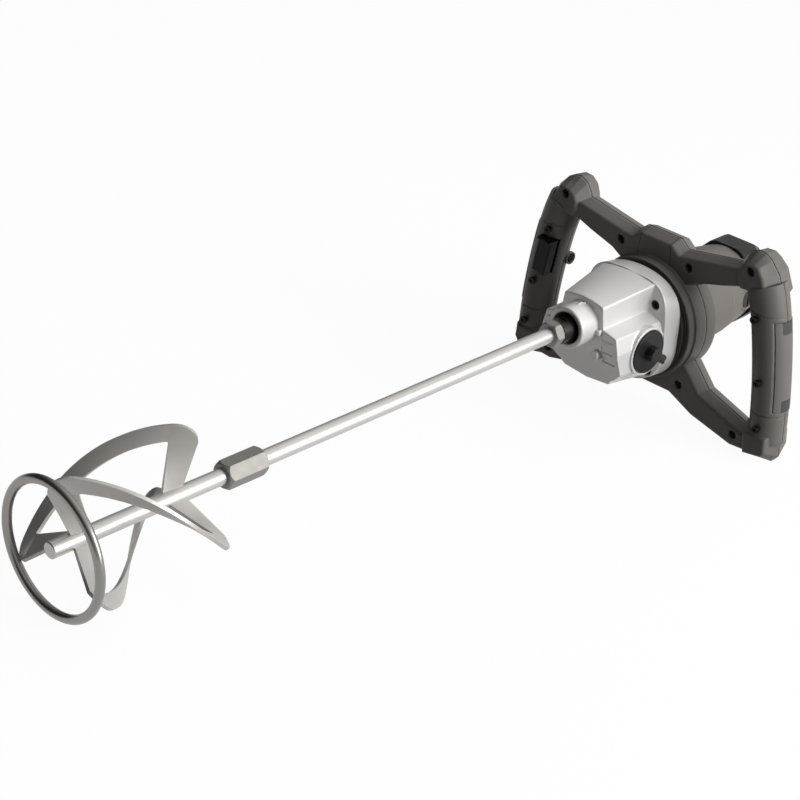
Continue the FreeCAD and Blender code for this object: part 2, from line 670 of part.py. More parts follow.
bearing("spindle_front_bearing", "front_bearing_diameter", "high_seat_diameter", "front_bearing_width",
        at(0, front_bearing_at, 0))
bearing("spindle_rear_bearing", "rear_bearing_diameter", "rear_journal_diameter", "rear_bearing_width",
        at(0, plate_at, 0))
bearing("armature_front_bearing", "rear_bearing_diameter", "armature_bearing_bore", "rear_bearing_width",
        at(0, motor_face - size("rear_bearing_width"), motor_z))
ring_piece("spindle_seal", "seal_diameter / 2 - seat_gap", "nose_diameter / 2 + run_gap", "seal_width",
           at(0, size("collar_length") - size("seal_width"), 0))
front_bush_at = front_bearing_at + size("front_bearing_width") + size("clear_gap")
for label, start in (("layshaft_front_bush", front_bush_at), ("layshaft_rear_bush", plate_at)):
    length = "front_spacer - 2 * clear_gap - run_gap" if label == "layshaft_front_bush" else "bush_length"
    ring_piece(label, "layshaft_diameter / 2 + bush_wall", "layshaft_diameter / 2 + run_gap", length,
               at(layshaft_x, start, layshaft_z))


# Gear case: one casting of a tower over the spindle, a wide lower body, a rear land and the clamping collar
case_end = motor_face - size("joint_ring_thickness")
land_at = motor_face - size("case_rear_land")
knob_seat = size("knob_face") - size("knob_thickness") / 2
cam_face = knob_seat - size("cam_length")
knob_z = -size("knob_drop")
screw_spread = size("case_screw_circle") / 2 / math.sqrt(2)
case_screw_places = [(x * screw_spread, motor_z + z * screw_spread) for x in (1, -1) for z in (1, -1)]


def case_section(shares, inset):
    points = both_sides(scaled(shares, size("case_half_width"), size("case_drop")))
    return grown(points, -inset)


def arched(points, y):
    """Closed line through the points, with one arc over the top from the last point to the second."""
    corners = [Vector(x, y, z) for x, z in points]
    arch = Part.Arc(corners[-1], corners[0], corners[1]).toShape()
    return Part.Wire([arch] + [Part.LineSegment(a, b).toShape() for a, b in zip(corners[1:], corners[2:])])


def rounded_line(points, y):
    """Smooth closed curve through the points."""
    curve = Part.BSplineCurve()
    curve.interpolate(Points=[Vector(x, y, z) for x, z in points], PeriodicFlag=True)
    return Part.Wire(curve.toShape())


def case_form(inset):
    front = size("collar_length")
    tower = Part.makeLoft([
        arched(case_section(TOWER_FRONT_SHARES, inset), front),
        arched(case_section(TOWER_REAR_SHARES, inset), land_at),
        arched(case_section(TOWER_END_SHARES, inset), case_end),
    ], True, True)
    body_front, body_rear = case_section(BODY_FRONT_SHARES, inset), case_section(BODY_REAR_SHARES, inset)
    body = ruled(body_front, front, body_rear, case_end)
    top = -RAKE_TOP_SHARE * size("case_drop")
    rake_at = front + inset * math.hypot(1, RAKE_SLOPE_SHARE)
    deep = size("case_drop")
    reach = size("case_half_width") + size("overrun")
    corners = [
        Vector(-reach, y, z) for y, z in (
            (rake_at, top), (rake_at + deep * RAKE_SLOPE_SHARE, top - deep),
            (front - size("overrun"), top - deep), (front - size("overrun"), top),
        )
    ]
    wedge = Part.Face(Part.makePolygon(corners + corners[:1])).extrude(Vector(2 * reach, 0, 0))
    return joined([tower, body.cut(wedge)])


def rake_y(z):
    """Where the case's front surface lies at a height: upright above, raked back below."""
    return size("collar_length") + max(0, -RAKE_TOP_SHARE * size("case_drop") - z) * RAKE_SLOPE_SHARE


def case_ribs():
    """Thin L-shaped ribs on both sides of the lower front face, each a level run and a short leg up."""
    ribs = []
    thick = size("rib_thickness")
    for share in RIB_SHARES:
        z = share * size("case_drop")
        top = z + size("rib_leg")
        for side in (1, -1):
            inner, outer = (side * part * size("case_half_width") for part in RIB_REACH_SHARES)
            near, far = sorted((inner, outer))
            leg_near, leg_far = sorted((inner, inner + side * thick))
            ribs.append(block(
                (near, rake_y(z) - size("rib_height"), z), (far, rake_y(z) + size("overrun"), z + thick),
            ))
            ribs.append(block(
                (leg_near, rake_y(top) - size("rib_height"), z), (leg_far, rake_y(z) + size("overrun"), top),
            ))
    return ribs


def gear_case_shape():
    front = size("collar_length")
    over = size("overrun")
    collar = rod_shape(size("collar_diameter") / 2, 0, front + over)
    rim = [edge for edge in collar.Edges if edge.BoundBox.YMax < over / 2]
    collar = collar.makeChamfer(size("collar_chamfer"), rim)
    land = Part.makeLoft([
        rounded_line(case_section(LAND_FRONT_SHARES, 0), land_at),
        rounded_line(case_section(LAND_REAR_SHARES, 0), case_end),
    ], True, True)
    knob_boss = cross_rod(
        size("knob_diameter") / 2 + size("clear_gap") + size("knob_rim"), size("case_half_width") / 2,
        size("knob_face") - size("case_half_width") / 2, knob_at, knob_z,
    )
    outside = joined([case_form(0), land, collar, knob_boss] + case_ribs())
    bearing_radius = size("front_bearing_diameter") / 2 + size("seat_gap")
    bearing_end = front_bearing_at + size("front_bearing_width")
    bush_radius = size("layshaft_diameter") / 2 + size("bush_wall")
    bush_end = high_gear_at - size("clear_gap")
    rail_radius = size("rail_diameter") / 2
    rail_x, rail_z = size("rail_reach"), -size("rail_drop")
    seats = joined([
        rod_shape(bearing_radius + size("bearing_seat_wall"), front, bearing_end - front),
        rod_shape(bush_radius + size("case_wall"), front, bush_end - front, layshaft_x, layshaft_z),
        rod_shape(rail_radius + size("case_wall"), front, bush_end - front, rail_x, rail_z),
    ])
    room = block(
        (-size("case_half_width"), front + size("case_wall"), -size("case_drop")),
        (size("case_half_width"), case_end + over, size("case_drop")),
    )
    channel = size("case_screw_pocket") / 2 + size("case_wall")
    channels = [rod_shape(channel, front, case_end - front, x, z) for x, z in case_screw_places]
    cavity = case_form(size("case_wall")).common(room).cut([seats] + channels)
    plate_room = rod_shape(size("plate_diameter") / 2 + size("seat_gap"), plate_at, motor_face, 0, motor_z)
    low_tip = size("module_slow") * (TEETH["low"] / 2 + 1) + size("clear_gap")
    high_tip = size("module_slow") * (TEETH["high"] / 2 + 1) + size("clear_gap")
    fast_tip = size("module_fast") * (TEETH["fast"] / 2 + 1) + size("gear_gap") / 2
    side = size("gear_gap") / 3
    bore = size("collar_bore") / 2
    cuts = [
        plate_room,
        rod_shape(low_tip, low_gear_at - side, size("gear_width") + 2 * side),
        rod_shape(high_tip, high_gear_at - side / 2, size("gear_width") + 2 * side),
        rod_shape(fast_tip, fast_gear_at - side, plate_at - fast_gear_at + side, layshaft_x, layshaft_z),
        rod_shape(bore, -over, front - size("seal_width") + over),
        rod_shape(size("seal_diameter") / 2, front - size("seal_width"), size("seal_width")),
        rod_shape(size("nose_diameter") / 2 + size("clear_gap"), 0, front_bearing_at + over),
        rod_shape(bearing_radius, front_bearing_at, size("front_bearing_width") + over / 2),
        rod_shape(bush_radius + size("seat_gap"), front_bush_at, size("front_spacer"),
                  layshaft_x, layshaft_z),
        rod_shape(rail_radius + size("seat_gap"), front + size("case_wall"), size("sleeve_room") * 2,
                  rail_x, rail_z),
        cross_rod(size("cam_diameter") / 2 + size("run_gap"), cam_face - over, over + size("knob_face"),
                  knob_at, knob_z),
        cross_rod(size("knob_diameter") / 2 + size("clear_gap"), knob_seat - size("seat_gap"),
                  size("knob_face"), knob_at, knob_z),
    ]
    for x, z in case_screw_places:
        cuts.append(rod_shape(size("case_screw_diameter") / 2 + size("slide_gap"), land_at - over,
                              size("case_rear_land") + 2 * over, x, z))
        pocket_end = land_at + size("case_screw_sink")
        cuts.append(rod_shape(size("case_screw_pocket") / 2, front, pocket_end - front, x, z))
    plug_hole = rod_shape(size("plug_diameter") / 2 + size("seat_gap"), 0, bush_end, layshaft_x, layshaft_z)
    return outside.cut(cavity).cut(cuts).cut(plug_hole)


feature("gear_case", gear_case_shape())


turned("gear_case_plug", (
    ("0", "0"), ("plug_diameter / 2 - collar_chamfer / 2", "0"), ("plug_diameter / 2", "collar_chamfer / 2"),
    ("plug_diameter / 2", "plug_reach + case_wall"), ("0", "plug_reach + case_wall"),
), at(layshaft_x, rake_y(layshaft_z) - size("plug_reach"), layshaft_z))


def plate_shape():
    """Bearing plate between gears and motor, with seats for two ball bearings and the layshaft bush."""
    thick = size("plate_thickness")
    over = size("overrun")
    seat = size("rear_bearing_diameter") / 2 + size("seat_gap")
    bush = size("layshaft_diameter") / 2 + size("bush_wall") + size("seat_gap")
    plate = rod_shape(size("plate_diameter") / 2, plate_at, thick, 0, motor_z)
    return plate.cut([
        rod_shape(seat, plate_at - over, over + size("rear_bearing_width")),
        rod_shape(seat, motor_face - size("rear_bearing_width"), size("rear_bearing_width") + over,
                  0, motor_z),
        rod_shape(size("armature_bearing_bore") / 2 + size("clear_gap"), plate_at - over, thick, 0, motor_z),
        rod_shape(bush, plate_at - over, over + size("bush_length"), layshaft_x, layshaft_z),
    ])


feature("gear_plate", plate_shape())


def joint_ring_shape():
    ring = rod_shape(size("joint_ring_diameter") / 2, case_end, size("joint_ring_thickness"), 0, motor_z)
    holes = [rod_shape(size("plate_diameter") / 2 + size("clear_gap"), case_end, motor_face, 0, motor_z)]
    radius = size("case_screw_diameter") / 2 + size("slide_gap")
    for x, z in case_screw_places:
        holes.append(rod_shape(radius, case_end, motor_face, x, z))
    return ring.cut(holes)


feature("case_joint_ring", joint_ring_shape())


def case_screws_shape():
    """Four socket screws from the case's pockets into the motor housing's flange."""
    screws = []
    seat = land_at + size("case_screw_sink")
    head = size("case_screw_head") / 2
    for x, z in case_screw_places:
        body = rod_shape(size("case_screw_diameter") / 2, seat, size("case_screw_length"), x, z)
        cap = rod_shape(head, seat - size("case_screw_diameter"), size("case_screw_diameter"), x, z)
        socket = [(x + px, z + pz) for px, pz in hexagon(head / 2)]
        screws.append(body.fuse(cap).cut(prism(socket, seat - size("case_screw_diameter"), head / 2)))
    return Part.makeCompound(screws)


feature("gear_case_screws", case_screws_shape())

# Selector: knob outside, cam with an off-centre pin inside, fork and rail
def knob_shape():
    disc = cross_rod(size("knob_diameter") / 2, knob_seat, size("knob_thickness"), knob_at, knob_z)
    front = knob_seat + size("knob_thickness")
    edge = [e for e in disc.Edges if e.BoundBox.XMin > front - size("knob_thickness") / 4]
    disc = disc.makeFillet(size("knob_thickness") / 4, edge)
    hub = cross_rod(size("knob_hub_diameter") / 2, front, size("knob_hub_height"), knob_at, knob_z)
    half = size("knob_wing_thickness") / 2
    wing = block(
        (front, knob_at - size("knob_hub_diameter") / 2, knob_z - half),
        (front + size("knob_wing_height"), knob_at + size("knob_wing_reach"), knob_z + half),
    )
    outer_edges = [e for e in wing.Edges if e.BoundBox.XMin > front or e.BoundBox.XLength > half]
    wing = wing.makeFillet(half / 2, outer_edges)
    wing.rotate(Vector(front, knob_at, knob_z), Vector(1, 0, 0), WING_LEAN)
    return joined([disc, hub, wing])


feature("selector_knob", knob_shape())
pin_rise = size("cam_eccentric") * math.cos(SHIFT_TURN / 2)
pin_back = size("cam_eccentric") * math.sin(SHIFT_TURN / 2)
feature("selector_cam", joined([
    cross_rod(size("cam_diameter") / 2, cam_face, size("cam_length"), knob_at, knob_z),
    cross_rod(size("cam_pin_diameter") / 2, cam_face - size("cam_pin_length"), size("cam_pin_length"),
              knob_at + pin_back, knob_z + pin_rise),
]))


def fork_shape():
    """Shift fork: a band in the sleeve's groove, an arm on the rail and a leg slotted for the cam's pin."""
    middle = knob_at + pin_back
    half = size("fork_thickness") / 2
    groove = size("sleeve_diameter") / 2 - size("groove_depth") + size("clear_gap")
    outer = size("sleeve_diameter") / 2 + size("fork_band")
    rail = size("rail_diameter") / 2
    leg_out = cam_face - size("clear_gap")
    leg_in = leg_out - size("fork_leg_width")
    arm_top = -size("rail_drop") + size("fork_arm") / 2
    arm_low = -size("rail_drop") - size("fork_arm") / 2
    band = rod_shape(outer, middle - half, 2 * half).common(
        block((0, middle - half, -outer), (outer, middle + half, outer)))
    pin_z = knob_z + pin_rise
    pad = size("fork_pad") / 2
    solids = [
        band,
        block((groove, middle - half, arm_low), (leg_out, middle + half, arm_top)),
        block((leg_in, middle - half, pin_z - pad), (leg_out, middle + half, arm_top)),
        block((leg_in, middle - pad, pin_z - pad), (leg_out, middle + pad, pin_z + pad)),
        rod_shape(rail + size("run_gap") + size("rail_wall"), middle - pad, 2 * pad,
                  size("rail_reach"), -size("rail_drop")),
    ]
    slot = size("cam_pin_diameter") / 2 + size("slide_gap")
    lift = size("cam_eccentric") - pin_rise + 2 * size("slide_gap")
    cuts = [
        rod_shape(groove, middle - half, 2 * half),
        rod_shape(rail + size("run_gap"), middle - pad, 2 * pad, size("rail_reach"), -size("rail_drop")),
        block((leg_in, middle - slot, pin_z - slot), (leg_out, middle + slot, pin_z + slot + lift)),
    ]
    room = case_form(size("case_wall") + size("clear_gap"))
    room_when_shifted = room.copy()
    room_when_shifted.translate(Vector(0, size("shift_travel"), 0))
    return joined(solids).cut(cuts).common(room).common(room_when_shifted)


feature("shift_fork", fork_shape())
rail_at = size("collar_length") + size("case_wall")
rail_end = low_gear_at - size("gear_gap")
feature("shift_rail", rod_shape(
    size("rail_diameter") / 2, rail_at, rail_end - rail_at, size("rail_reach"), -size("rail_drop")))

# Handle frame: two half shells that meet at the parting plane
frame_wide = size("frame_half_width")
frame_tall = size("frame_drop")


def grip_solid(side, offset):
    """Round grip that bows outwards, lofted along its middle line."""
    line = [Vector(side * x * frame_wide, parting, z * frame_tall) for x, z in GRIP_LINE_SHARES]
    top, low = size("grip_diameter") / 2, size("grip_foot_diameter") / 2
    rings = []
    for index, point in enumerate(line):
        before = line[max(index - 1, 0)]
        after = line[min(index + 1, len(line) - 1)]
        radius = top + (low - top) * index / (len(line) - 1) + offset
        rings.append(Part.Wire(Part.Circle(point, after - before, radius).toShape()))
    return Part.makeLoft(rings, True, False)


foot_at = size("frame_face") - size("foot_stand")
frame_far = size("frame_half_width") + size("overrun")


def frame_form(inset, head_end):
    """Half of the frame's outside, or of its hollow when set in by the wall. head_end is the heads' end."""
    face = size("frame_face")
    head_at = face - size("head_stand")
    solids = []
    for shares in (TOP_YOKE_SHARES, LOW_YOKE_SHARES):
        points = both_sides(scaled(shares, frame_wide, frame_tall))
        solids.append((points, grown(points, size("bar_bulge")), face))
    ends = ((head_end, HEAD_PART_SHARES, head_at), (FOOT_FACE_SHARES, FOOT_PART_SHARES, foot_at))
    for end, middle, start in ends:
        near, wide = scaled(end, frame_wide, frame_tall), scaled(middle, frame_wide, frame_tall)
        solids.append((near, wide, start))
        solids.append((swapped(near), swapped(wide), start))
    blocks = []
    for near, wide, start in solids:
        piece = ruled(grown(near, -inset), start + inset, grown(wide, -inset), parting)
        if not inset:
            piece = rounded_front(piece, start, size("frame_edge_round"))
        blocks.append(piece)
    front_half = block((-frame_far, 0, -frame_far), (frame_far, parting, frame_far))
    for side in (1, -1):
        blocks.append(grip_solid(side, -inset).common(front_half))
    return blocks


def frame_outside(head_end):
    lip_at = size("frame_face") - SET_BACK_SHARE * size("lip_depth") - size("lip_depth")
    ring_at_y = lip_at + size("lip_depth")
    ring = [
        rod_shape(size("lip_diameter") / 2, lip_at, size("lip_depth"), 0, motor_z),
        rod_shape(size("ring_diameter") / 2, ring_at_y, parting - ring_at_y, 0, motor_z),
    ]
    return joined(frame_form(0, head_end) + ring)


outside_front = frame_outside(HEAD_FACE_SHARES)
outside_rear = frame_outside(HEAD_REAR_SHARES)
screw_places = [(side * x * frame_wide, z * frame_tall) for x, z in SCREW_SHARES for side in (1, -1)]
mirror_base = Vector(0, parting, 0)


def screw_face(x, z):
    """Depth at which the front surface lies around a screw."""
    probe = rod_shape(size("screw_shank") / 2, 0, parting, x, z).common(outside_front)
    return probe.BoundBox.YMin


screw_seats = [screw_face(x, z) + size("screw_recess_depth") for x, z in screw_places]


def shell_half(outside, head_end):
    """Hollow half of the frame with a post for each screw."""
    hollow = joined(frame_form(size("frame_wall"), head_end))
    posts = [rod_shape(size("screw_boss") / 2, 0, parting, x, z).common(outside) for x, z in screw_places]
    return outside.cut(hollow).fuse(joined(posts))


def mirrored_back(shape):
    return shape.mirror(mirror_base, Vector(0, 1, 0))


def grip_point(side, z):
    """Middle line of a grip at a height, between its listed points."""
    line = [(x * frame_wide, share * frame_tall) for x, share in GRIP_LINE_SHARES]
    for (x_high, z_high), (x_low, z_low) in zip(line, line[1:]):
        if z_low <= z <= z_high:
            return side * (x_low + (x_high - x_low) * (z - z_low) / (z_high - z_low))
    return side * line[-1][0]


def grip_lean(z):
    """Lean of the grip's middle line from the upright, in degrees."""
    step = size("grip_diameter") / 2
    return math.degrees(math.atan2(grip_point(1, z - step) - grip_point(1, z + step), 2 * step))


# Grip pads: soft panels let into the outside of both grips, across the parting plane
def pad_zone(side, spare):
    line = [(side * x * frame_wide, z * frame_tall) for x, z in GRIP_LINE_SHARES[1:-1]]
    top, low = (line[0][1] * PAD_TOP_SHARE, line[-1][1] * PAD_LOW_SHARE)
    inner = [(grip_point(side, top), top)] + line[1:-1] + [(grip_point(side, low), low)]
    far = side * (frame_wide + size("grip_diameter"))
    shift = side * size("grip_diameter") / 6
    outline = [(x + shift, z) for x, z in inner] + [(far, low), (far, top)]
    half = size("pad_half_width")
    return prism(grown(outline, spare), parting - half - spare, 2 * (half + spare))


def pad_shape(side):
    depth = size("pad_thickness") - size("pad_proud")
    skin = grip_solid(side, size("pad_proud")).cut(grip_solid(side, -depth))
    return skin.common(pad_zone(side, 0))


def pad_recess(side):
    depth = size("pad_thickness") - size("pad_proud") + size("seat_gap")
    skin = grip_solid(side, size("pad_thickness")).cut(grip_solid(side, -depth))
    return skin.common(pad_zone(side, size("slide_gap")))


feature("right_grip_pad", pad_shape(1))
feature("left_grip_pad", pad_shape(-1))
pad_recesses = [pad_recess(1), pad_recess(-1)]

# Trigger on the front of the left grip, with a lip at its top; it slides straight back
trigger_z = -size("trigger_drop")
trigger_x = grip_point(-1, trigger_z) + size("trigger_inset")
trigger_front = parting - size("grip_diameter") / 2 - size("trigger_stand")
trigger_turn = Rotation(Vector(0, 1, 0), grip_lean(trigger_z))
trigger_place = Placement(Vector(trigger_x, 0, trigger_z), trigger_turn)


def trigger_block(spare, start, depth):
    half_wide = size("trigger_width") / 2 + spare
    half_long = size("trigger_length") / 2 + spare
    body = block((-half_wide, start, -half_long), (half_wide, start + depth, half_long))
    if not spare:
        edges = [edge for edge in body.Edges if edge.BoundBox.YMax < start + depth]
        body = body.makeFillet(size("trigger_round"), edges)
    return body


def trigger_shape():
    body = trigger_block(0, trigger_front, size("trigger_depth"))
    half_wide = size("trigger_width") / 2
    top = size("trigger_length") / 2
    lip = block(
        (-half_wide, trigger_front - size("trigger_lip"), top - size("trigger_lip_depth")),
        (half_wide, trigger_front + size("trigger_lip"), top),
    )
    lip = lip.makeFillet(size("trigger_round") / 2, lip.Edges)
    return joined([body, lip])


feature("trigger", trigger_shape(), trigger_place)
trigger_slot = trigger_block(size("clear_gap"), trigger_front, parting - trigger_front)
trigger_slot.Placement = trigger_place
switch_at = trigger_front + size("trigger_depth") + size("trigger_travel") + size("clear_gap")


def switch_shape():
    """Sealed switch behind the trigger, with its own return spring inside."""
    half_wide = size("switch_width") / 2
    half_long = size("switch_length") / 2
    switch_end = switch_at + size("switch_depth")
    body = block((-half_wide, switch_at, -half_long), (half_wide, switch_end, half_long))
    body = body.makeFillet(size("switch_round"), body.Edges)
    body.Placement = trigger_place
    return body.common(grip_solid(-1, -size("frame_wall") - size("slide_gap")))


feature("switch_module", switch_shape())

# Lock-on button on the inside of the left grip, behind the parting plane
button_y = parting + size("button_back")
button_z = -size("button_drop")
button_chord = math.sqrt((size("grip_diameter") / 2) ** 2 - size("button_back") ** 2)
button_end = grip_point(-1, button_z) + button_chord + size("button_stand")
button_start = button_end - size("button_stand") - size("button_length")


def button_shape():
    pin = cross_rod(size("button_diameter") / 2, button_start, button_end - button_start, button_y, button_z)
    rim = [edge for edge in pin.Edges if edge.BoundBox.XMin > button_end - size("overrun") / 10]
    return pin.makeFillet(size("button_diameter") / 6, rim)


feature("lock_button", button_shape())
button_room = button_start - size("button_travel") - size("clear_gap")
button_hole = cross_rod(
    size("button_diameter") / 2 + size("slide_gap"), button_room, button_end - button_room,
    button_y, button_z)
button_rim_at = button_end - size("button_stand") - size("frame_wall")
button_boss = cross_rod(
    size("button_diameter") / 2 + size("button_rim"), button_rim_at, size("frame_wall") + size("button_rim"),
    button_y, button_z)

# Cord inlet in the back of the left foot
inlet_x = sum(x for x, _ in FOOT_FACE_SHARES) / len(FOOT_FACE_SHARES) * -frame_wide
inlet_z = sum(z for _, z in FOOT_FACE_SHARES) / len(FOOT_FACE_SHARES) * frame_tall
inlet_wall = 2 * parting - foot_at - size("frame_wall")
inlet_at = inlet_wall - size("frame_wall")
turned("cord_inlet", (
    ("inlet_bore / 2", "0"), ("inlet_diameter / 2 + inlet_flange", "0"),
    ("inlet_diameter / 2 + inlet_flange", "frame_wall - seat_gap"),
    ("inlet_diameter / 2 - seat_gap", "frame_wall - seat_gap"),
    ("inlet_diameter / 2 - seat_gap", "2 * frame_wall"),
    ("inlet_diameter / 2 - inlet_flange", "inlet_length"), ("inlet_bore / 2", "inlet_length"),
), at(inlet_x, inlet_at, inlet_z))


def joint_groove():
    """Step along the front shell's edge, so that the two shells meet in a fine line."""
    depth = size("groove_line_depth")
    core = joined(frame_form(depth, HEAD_FACE_SHARES) + [
        rod_shape(size("ring_diameter") / 2 - depth, 0, parting, 0, motor_z),
    ])
    edge_at = parting - size("groove_line_width")
    return block((-frame_far, edge_at, -frame_far), (frame_far, parting, frame_far)).cut(core)


def grip_groove(side, share):
    """Fine line round a grip, where its covering ends."""
    z = share * frame_tall
    half = size("groove_line_width") / 2
    x = grip_point(side, z)
    reach = size("grip_diameter")
    slab = block((x - reach, parting - reach, z - half), (x + reach, parting + reach, z + half))
    depth = size("groove_line_depth")
    return grip_solid(side, depth).cut(grip_solid(side, -depth)).common(slab)


grip_grooves = [grip_groove(side, share) for side in (1, -1) for share in GRIP_GROOVE_SHARES]


def front_shell_shape():
    cuts = [rod_shape(size("ring_bore") / 2, 0, parting, 0, motor_z), trigger_slot, joint_groove()]
    cuts += pad_recesses + grip_grooves
    for (x, z), seat in zip(screw_places, screw_seats):
        cuts.append(rod_shape(size("screw_recess") / 2, 0, seat, x, z))
        cuts.append(rod_shape(size("screw_shank") / 2 + size("slide_gap"), 0, parting, x, z))
    return shell_half(outside_front, HEAD_FACE_SHARES).cut(cuts)


def rear_shell_shape():
    ring_end = parting + size("ring_rear_depth")
    wall_at = ring_end - size("ring_rear_wall")
    over = size("overrun")
    plain = mirrored_back(shell_half(outside_rear, HEAD_REAR_SHARES)).fuse(button_boss)
    rim = rod_shape(size("ring_diameter") / 2 + over, ring_end, parting, 0, motor_z)
    cuts = [
        rim.cut(mirrored_back(joined(frame_form(0, HEAD_REAR_SHARES)))),
        rod_shape(size("ring_bore") / 2, parting - over, wall_at - parting + over, 0, motor_z),
        rod_shape(size("barrel_diameter") / 2 + size("clear_gap"), parting, size("frame_face"), 0, motor_z),
        rod_shape(size("inlet_diameter") / 2, inlet_at, size("inlet_length"), inlet_x, inlet_z),
        button_hole,
    ] + pad_recesses + grip_grooves
    for (x, z), seat in zip(screw_places, screw_seats):
        depth = seat + size("screw_length") - parting + size("clear_gap")
        cuts.append(rod_shape(size("screw_shank") / 2 + size("seat_gap"), parting - over, over + depth, x, z))
    return plain.cut(cuts)


feature("front_handle_shell", front_shell_shape())
feature("rear_handle_shell", rear_shell_shape())


def handle_screws_shape():
    screws = []
    for (x, z), seat in zip(screw_places, screw_seats):
        shank = rod_shape(size("screw_shank") / 2, seat, size("screw_length"), x, z)
        height = size("screw_head_height")
        head = rod_shape(size("screw_head") / 2, seat - height, height, x, z)
        cross = both_sides(scaled(CROSS_SHARES, size("screw_head"), size("screw_head")))
        slot = [(x + px, z + pz) for px, pz in cross]
        socket = prism(slot, seat - height, height / 2)
        screws.append(shank.fuse(head).cut(socket))
    return Part.makeCompound(screws)


feature("handle_screws", handle_screws_shape())

# Motor places, from the bearing plate backwards
fan_at = motor_face + size("fan_gap")
baffle_at = fan_at + size("fan_width") + size("fan_plate")
stator_at = baffle_at + size("baffle_thickness") + size("stator_gap")
brush_at = stator_at + size("stator_length") + size("brush_gap")
cap_at = size("seam_at") + size("brush_housing_length")
tail_bearing_at = cap_at


def armature_shaft_shape():
    journal = size("armature_bearing_bore") / 2
    middle = size("shaft_diameter") / 2
    pinion = toothed(
        TEETH["motor_pinion"], size("module_fast"), facing_gap(TEETH["motor_pinion"], to_motor + math.pi),
        fast_gear_at - size("gear_gap") / 3, size("fast_width") + size("gear_gap") / 3, 0, motor_z,
    )
    front = fast_gear_at + size("fast_width")
    end = tail_bearing_at + size("rear_bearing_width")
    return joined([
        pinion, rod_shape(journal, front, motor_face - front, 0, motor_z),
        rod_shape(middle, motor_face, tail_bearing_at - motor_face, 0, motor_z),
        rod_shape(journal, tail_bearing_at, end - tail_bearing_at, 0, motor_z),
    ])


feature("armature_shaft", armature_shaft_shape())
bearing("armature_rear_bearing", "rear_bearing_diameter", "armature_bearing_bore", "rear_bearing_width",
        at(0, tail_bearing_at, motor_z))


def around_motor(shape, count):
    copies = []
    for index in range(count):
        copy = shape.copy()
        copy.rotate(Vector(0, 0, motor_z), Vector(0, 1, 0), 360 * index / count)
        copies.append(copy)
    return copies


def shaft_hole(start, length):
    return rod_shape(size("shaft_diameter") / 2 + size("seat_gap"), start, length, 0, motor_z)


def armature_core_shape():
    radius = size("armature_diameter") / 2
    length = size("stator_length")
    core = rod_shape(radius, stator_at, length, 0, motor_z)
    slot = block(
        (-size("slot_width") / 2, stator_at, motor_z + radius - size("slot_depth")),
        (size("slot_width") / 2, stator_at + length, motor_z + radius + size("overrun")),
    )
    return core.cut(around_motor(slot, ARMATURE_SLOTS) + [shaft_hole(stator_at, length)])


feature("armature_core", armature_core_shape())
turned("commutator", (
    ("shaft_diameter / 2 + seat_gap", "0"), ("commutator_diameter / 2 + holder_wall", "0"),
    ("commutator_diameter / 2 + holder_wall", "holder_wall"), ("commutator_diameter / 2", "holder_wall"),
    ("commutator_diameter / 2", "commutator_length"), ("shaft_diameter / 2 + seat_gap", "commutator_length"),
), at(0, brush_at - size("commutator_length") / 2 - size("holder_wall") / 2, motor_z))


def fan_shape():
    """Fan: a hub, a back plate and straight radial blades on the side of the plate."""
    plate = rod_shape(size("fan_diameter") / 2, fan_at, size("fan_plate"), 0, motor_z)
    hub = rod_shape(size("fan_hub") / 2, fan_at, size("fan_width"), 0, motor_z)
    thick = size("fan_blade")
    blade = block(
        (-thick / 2, fan_at, motor_z + size("fan_hub") / 2 - thick),
        (thick / 2, fan_at + size("fan_width"), motor_z + size("fan_diameter") / 2 - thick),
    )
    return joined([plate, hub] + around_motor(blade, FAN_BLADES)).cut(shaft_hole(fan_at, size("fan_width")))


feature("cooling_fan", fan_shape())
ring_piece("fan_baffle", "stator_diameter / 2", "baffle_bore / 2", "baffle_thickness",
           at(0, baffle_at, motor_z))


def pole_zone(spare):
    """Wedges above and below the motor axis where the two poles stand."""
    reach = size("stator_diameter") / 2
    half = reach * math.tan(POLE_HALF_ANGLE)
    outline = [(0, motor_z), (half + spare, motor_z + reach), (-half - spare, motor_z + reach)]
    return around_motor(prism(outline, stator_at - spare, size("stator_length") + 2 * spare), STATOR_POLES)


def stator_tube(outer, inner, start, length):
    return rod_shape(outer, start, length, 0, motor_z).cut(rod_shape(inner, start, length, 0, motor_z))


def stator_core_shape():
    outer = size("stator_diameter") / 2
    inside = outer - size("coil_thickness")
    yoke = stator_tube(outer, inside, stator_at, size("stator_length"))
    poles = stator_tube(inside, size("stator_bore") / 2, stator_at, size("stator_length"))
    return joined([yoke] + [poles.common(zone) for zone in pole_zone(0)])


feature("stator_core", stator_core_shape())


def field_coils_shape():
    """Two saddle coils, each round one pole, with end turns in front of and behind the core."""
    outer = size("stator_diameter") / 2 - size("coil_thickness") - size("slide_gap")
    inner = size("stator_bore") / 2 + size("slide_gap")
    start = stator_at - size("coil_overhang") / 2
    length = size("stator_length") + size("coil_overhang")
    tube = stator_tube(outer, inner, start, length).cut(pole_zone(size("slide_gap")))
    far = size("stator_diameter")
    gap = size("slide_gap")
    upper = block((-far, start, motor_z + gap), (far, start + length, motor_z + far))
    lower = block((-far, start, motor_z - far), (far, start + length, motor_z - gap))
    return Part.makeCompound([tube.common(upper), tube.common(lower)])


feature("field_coils", field_coils_shape())

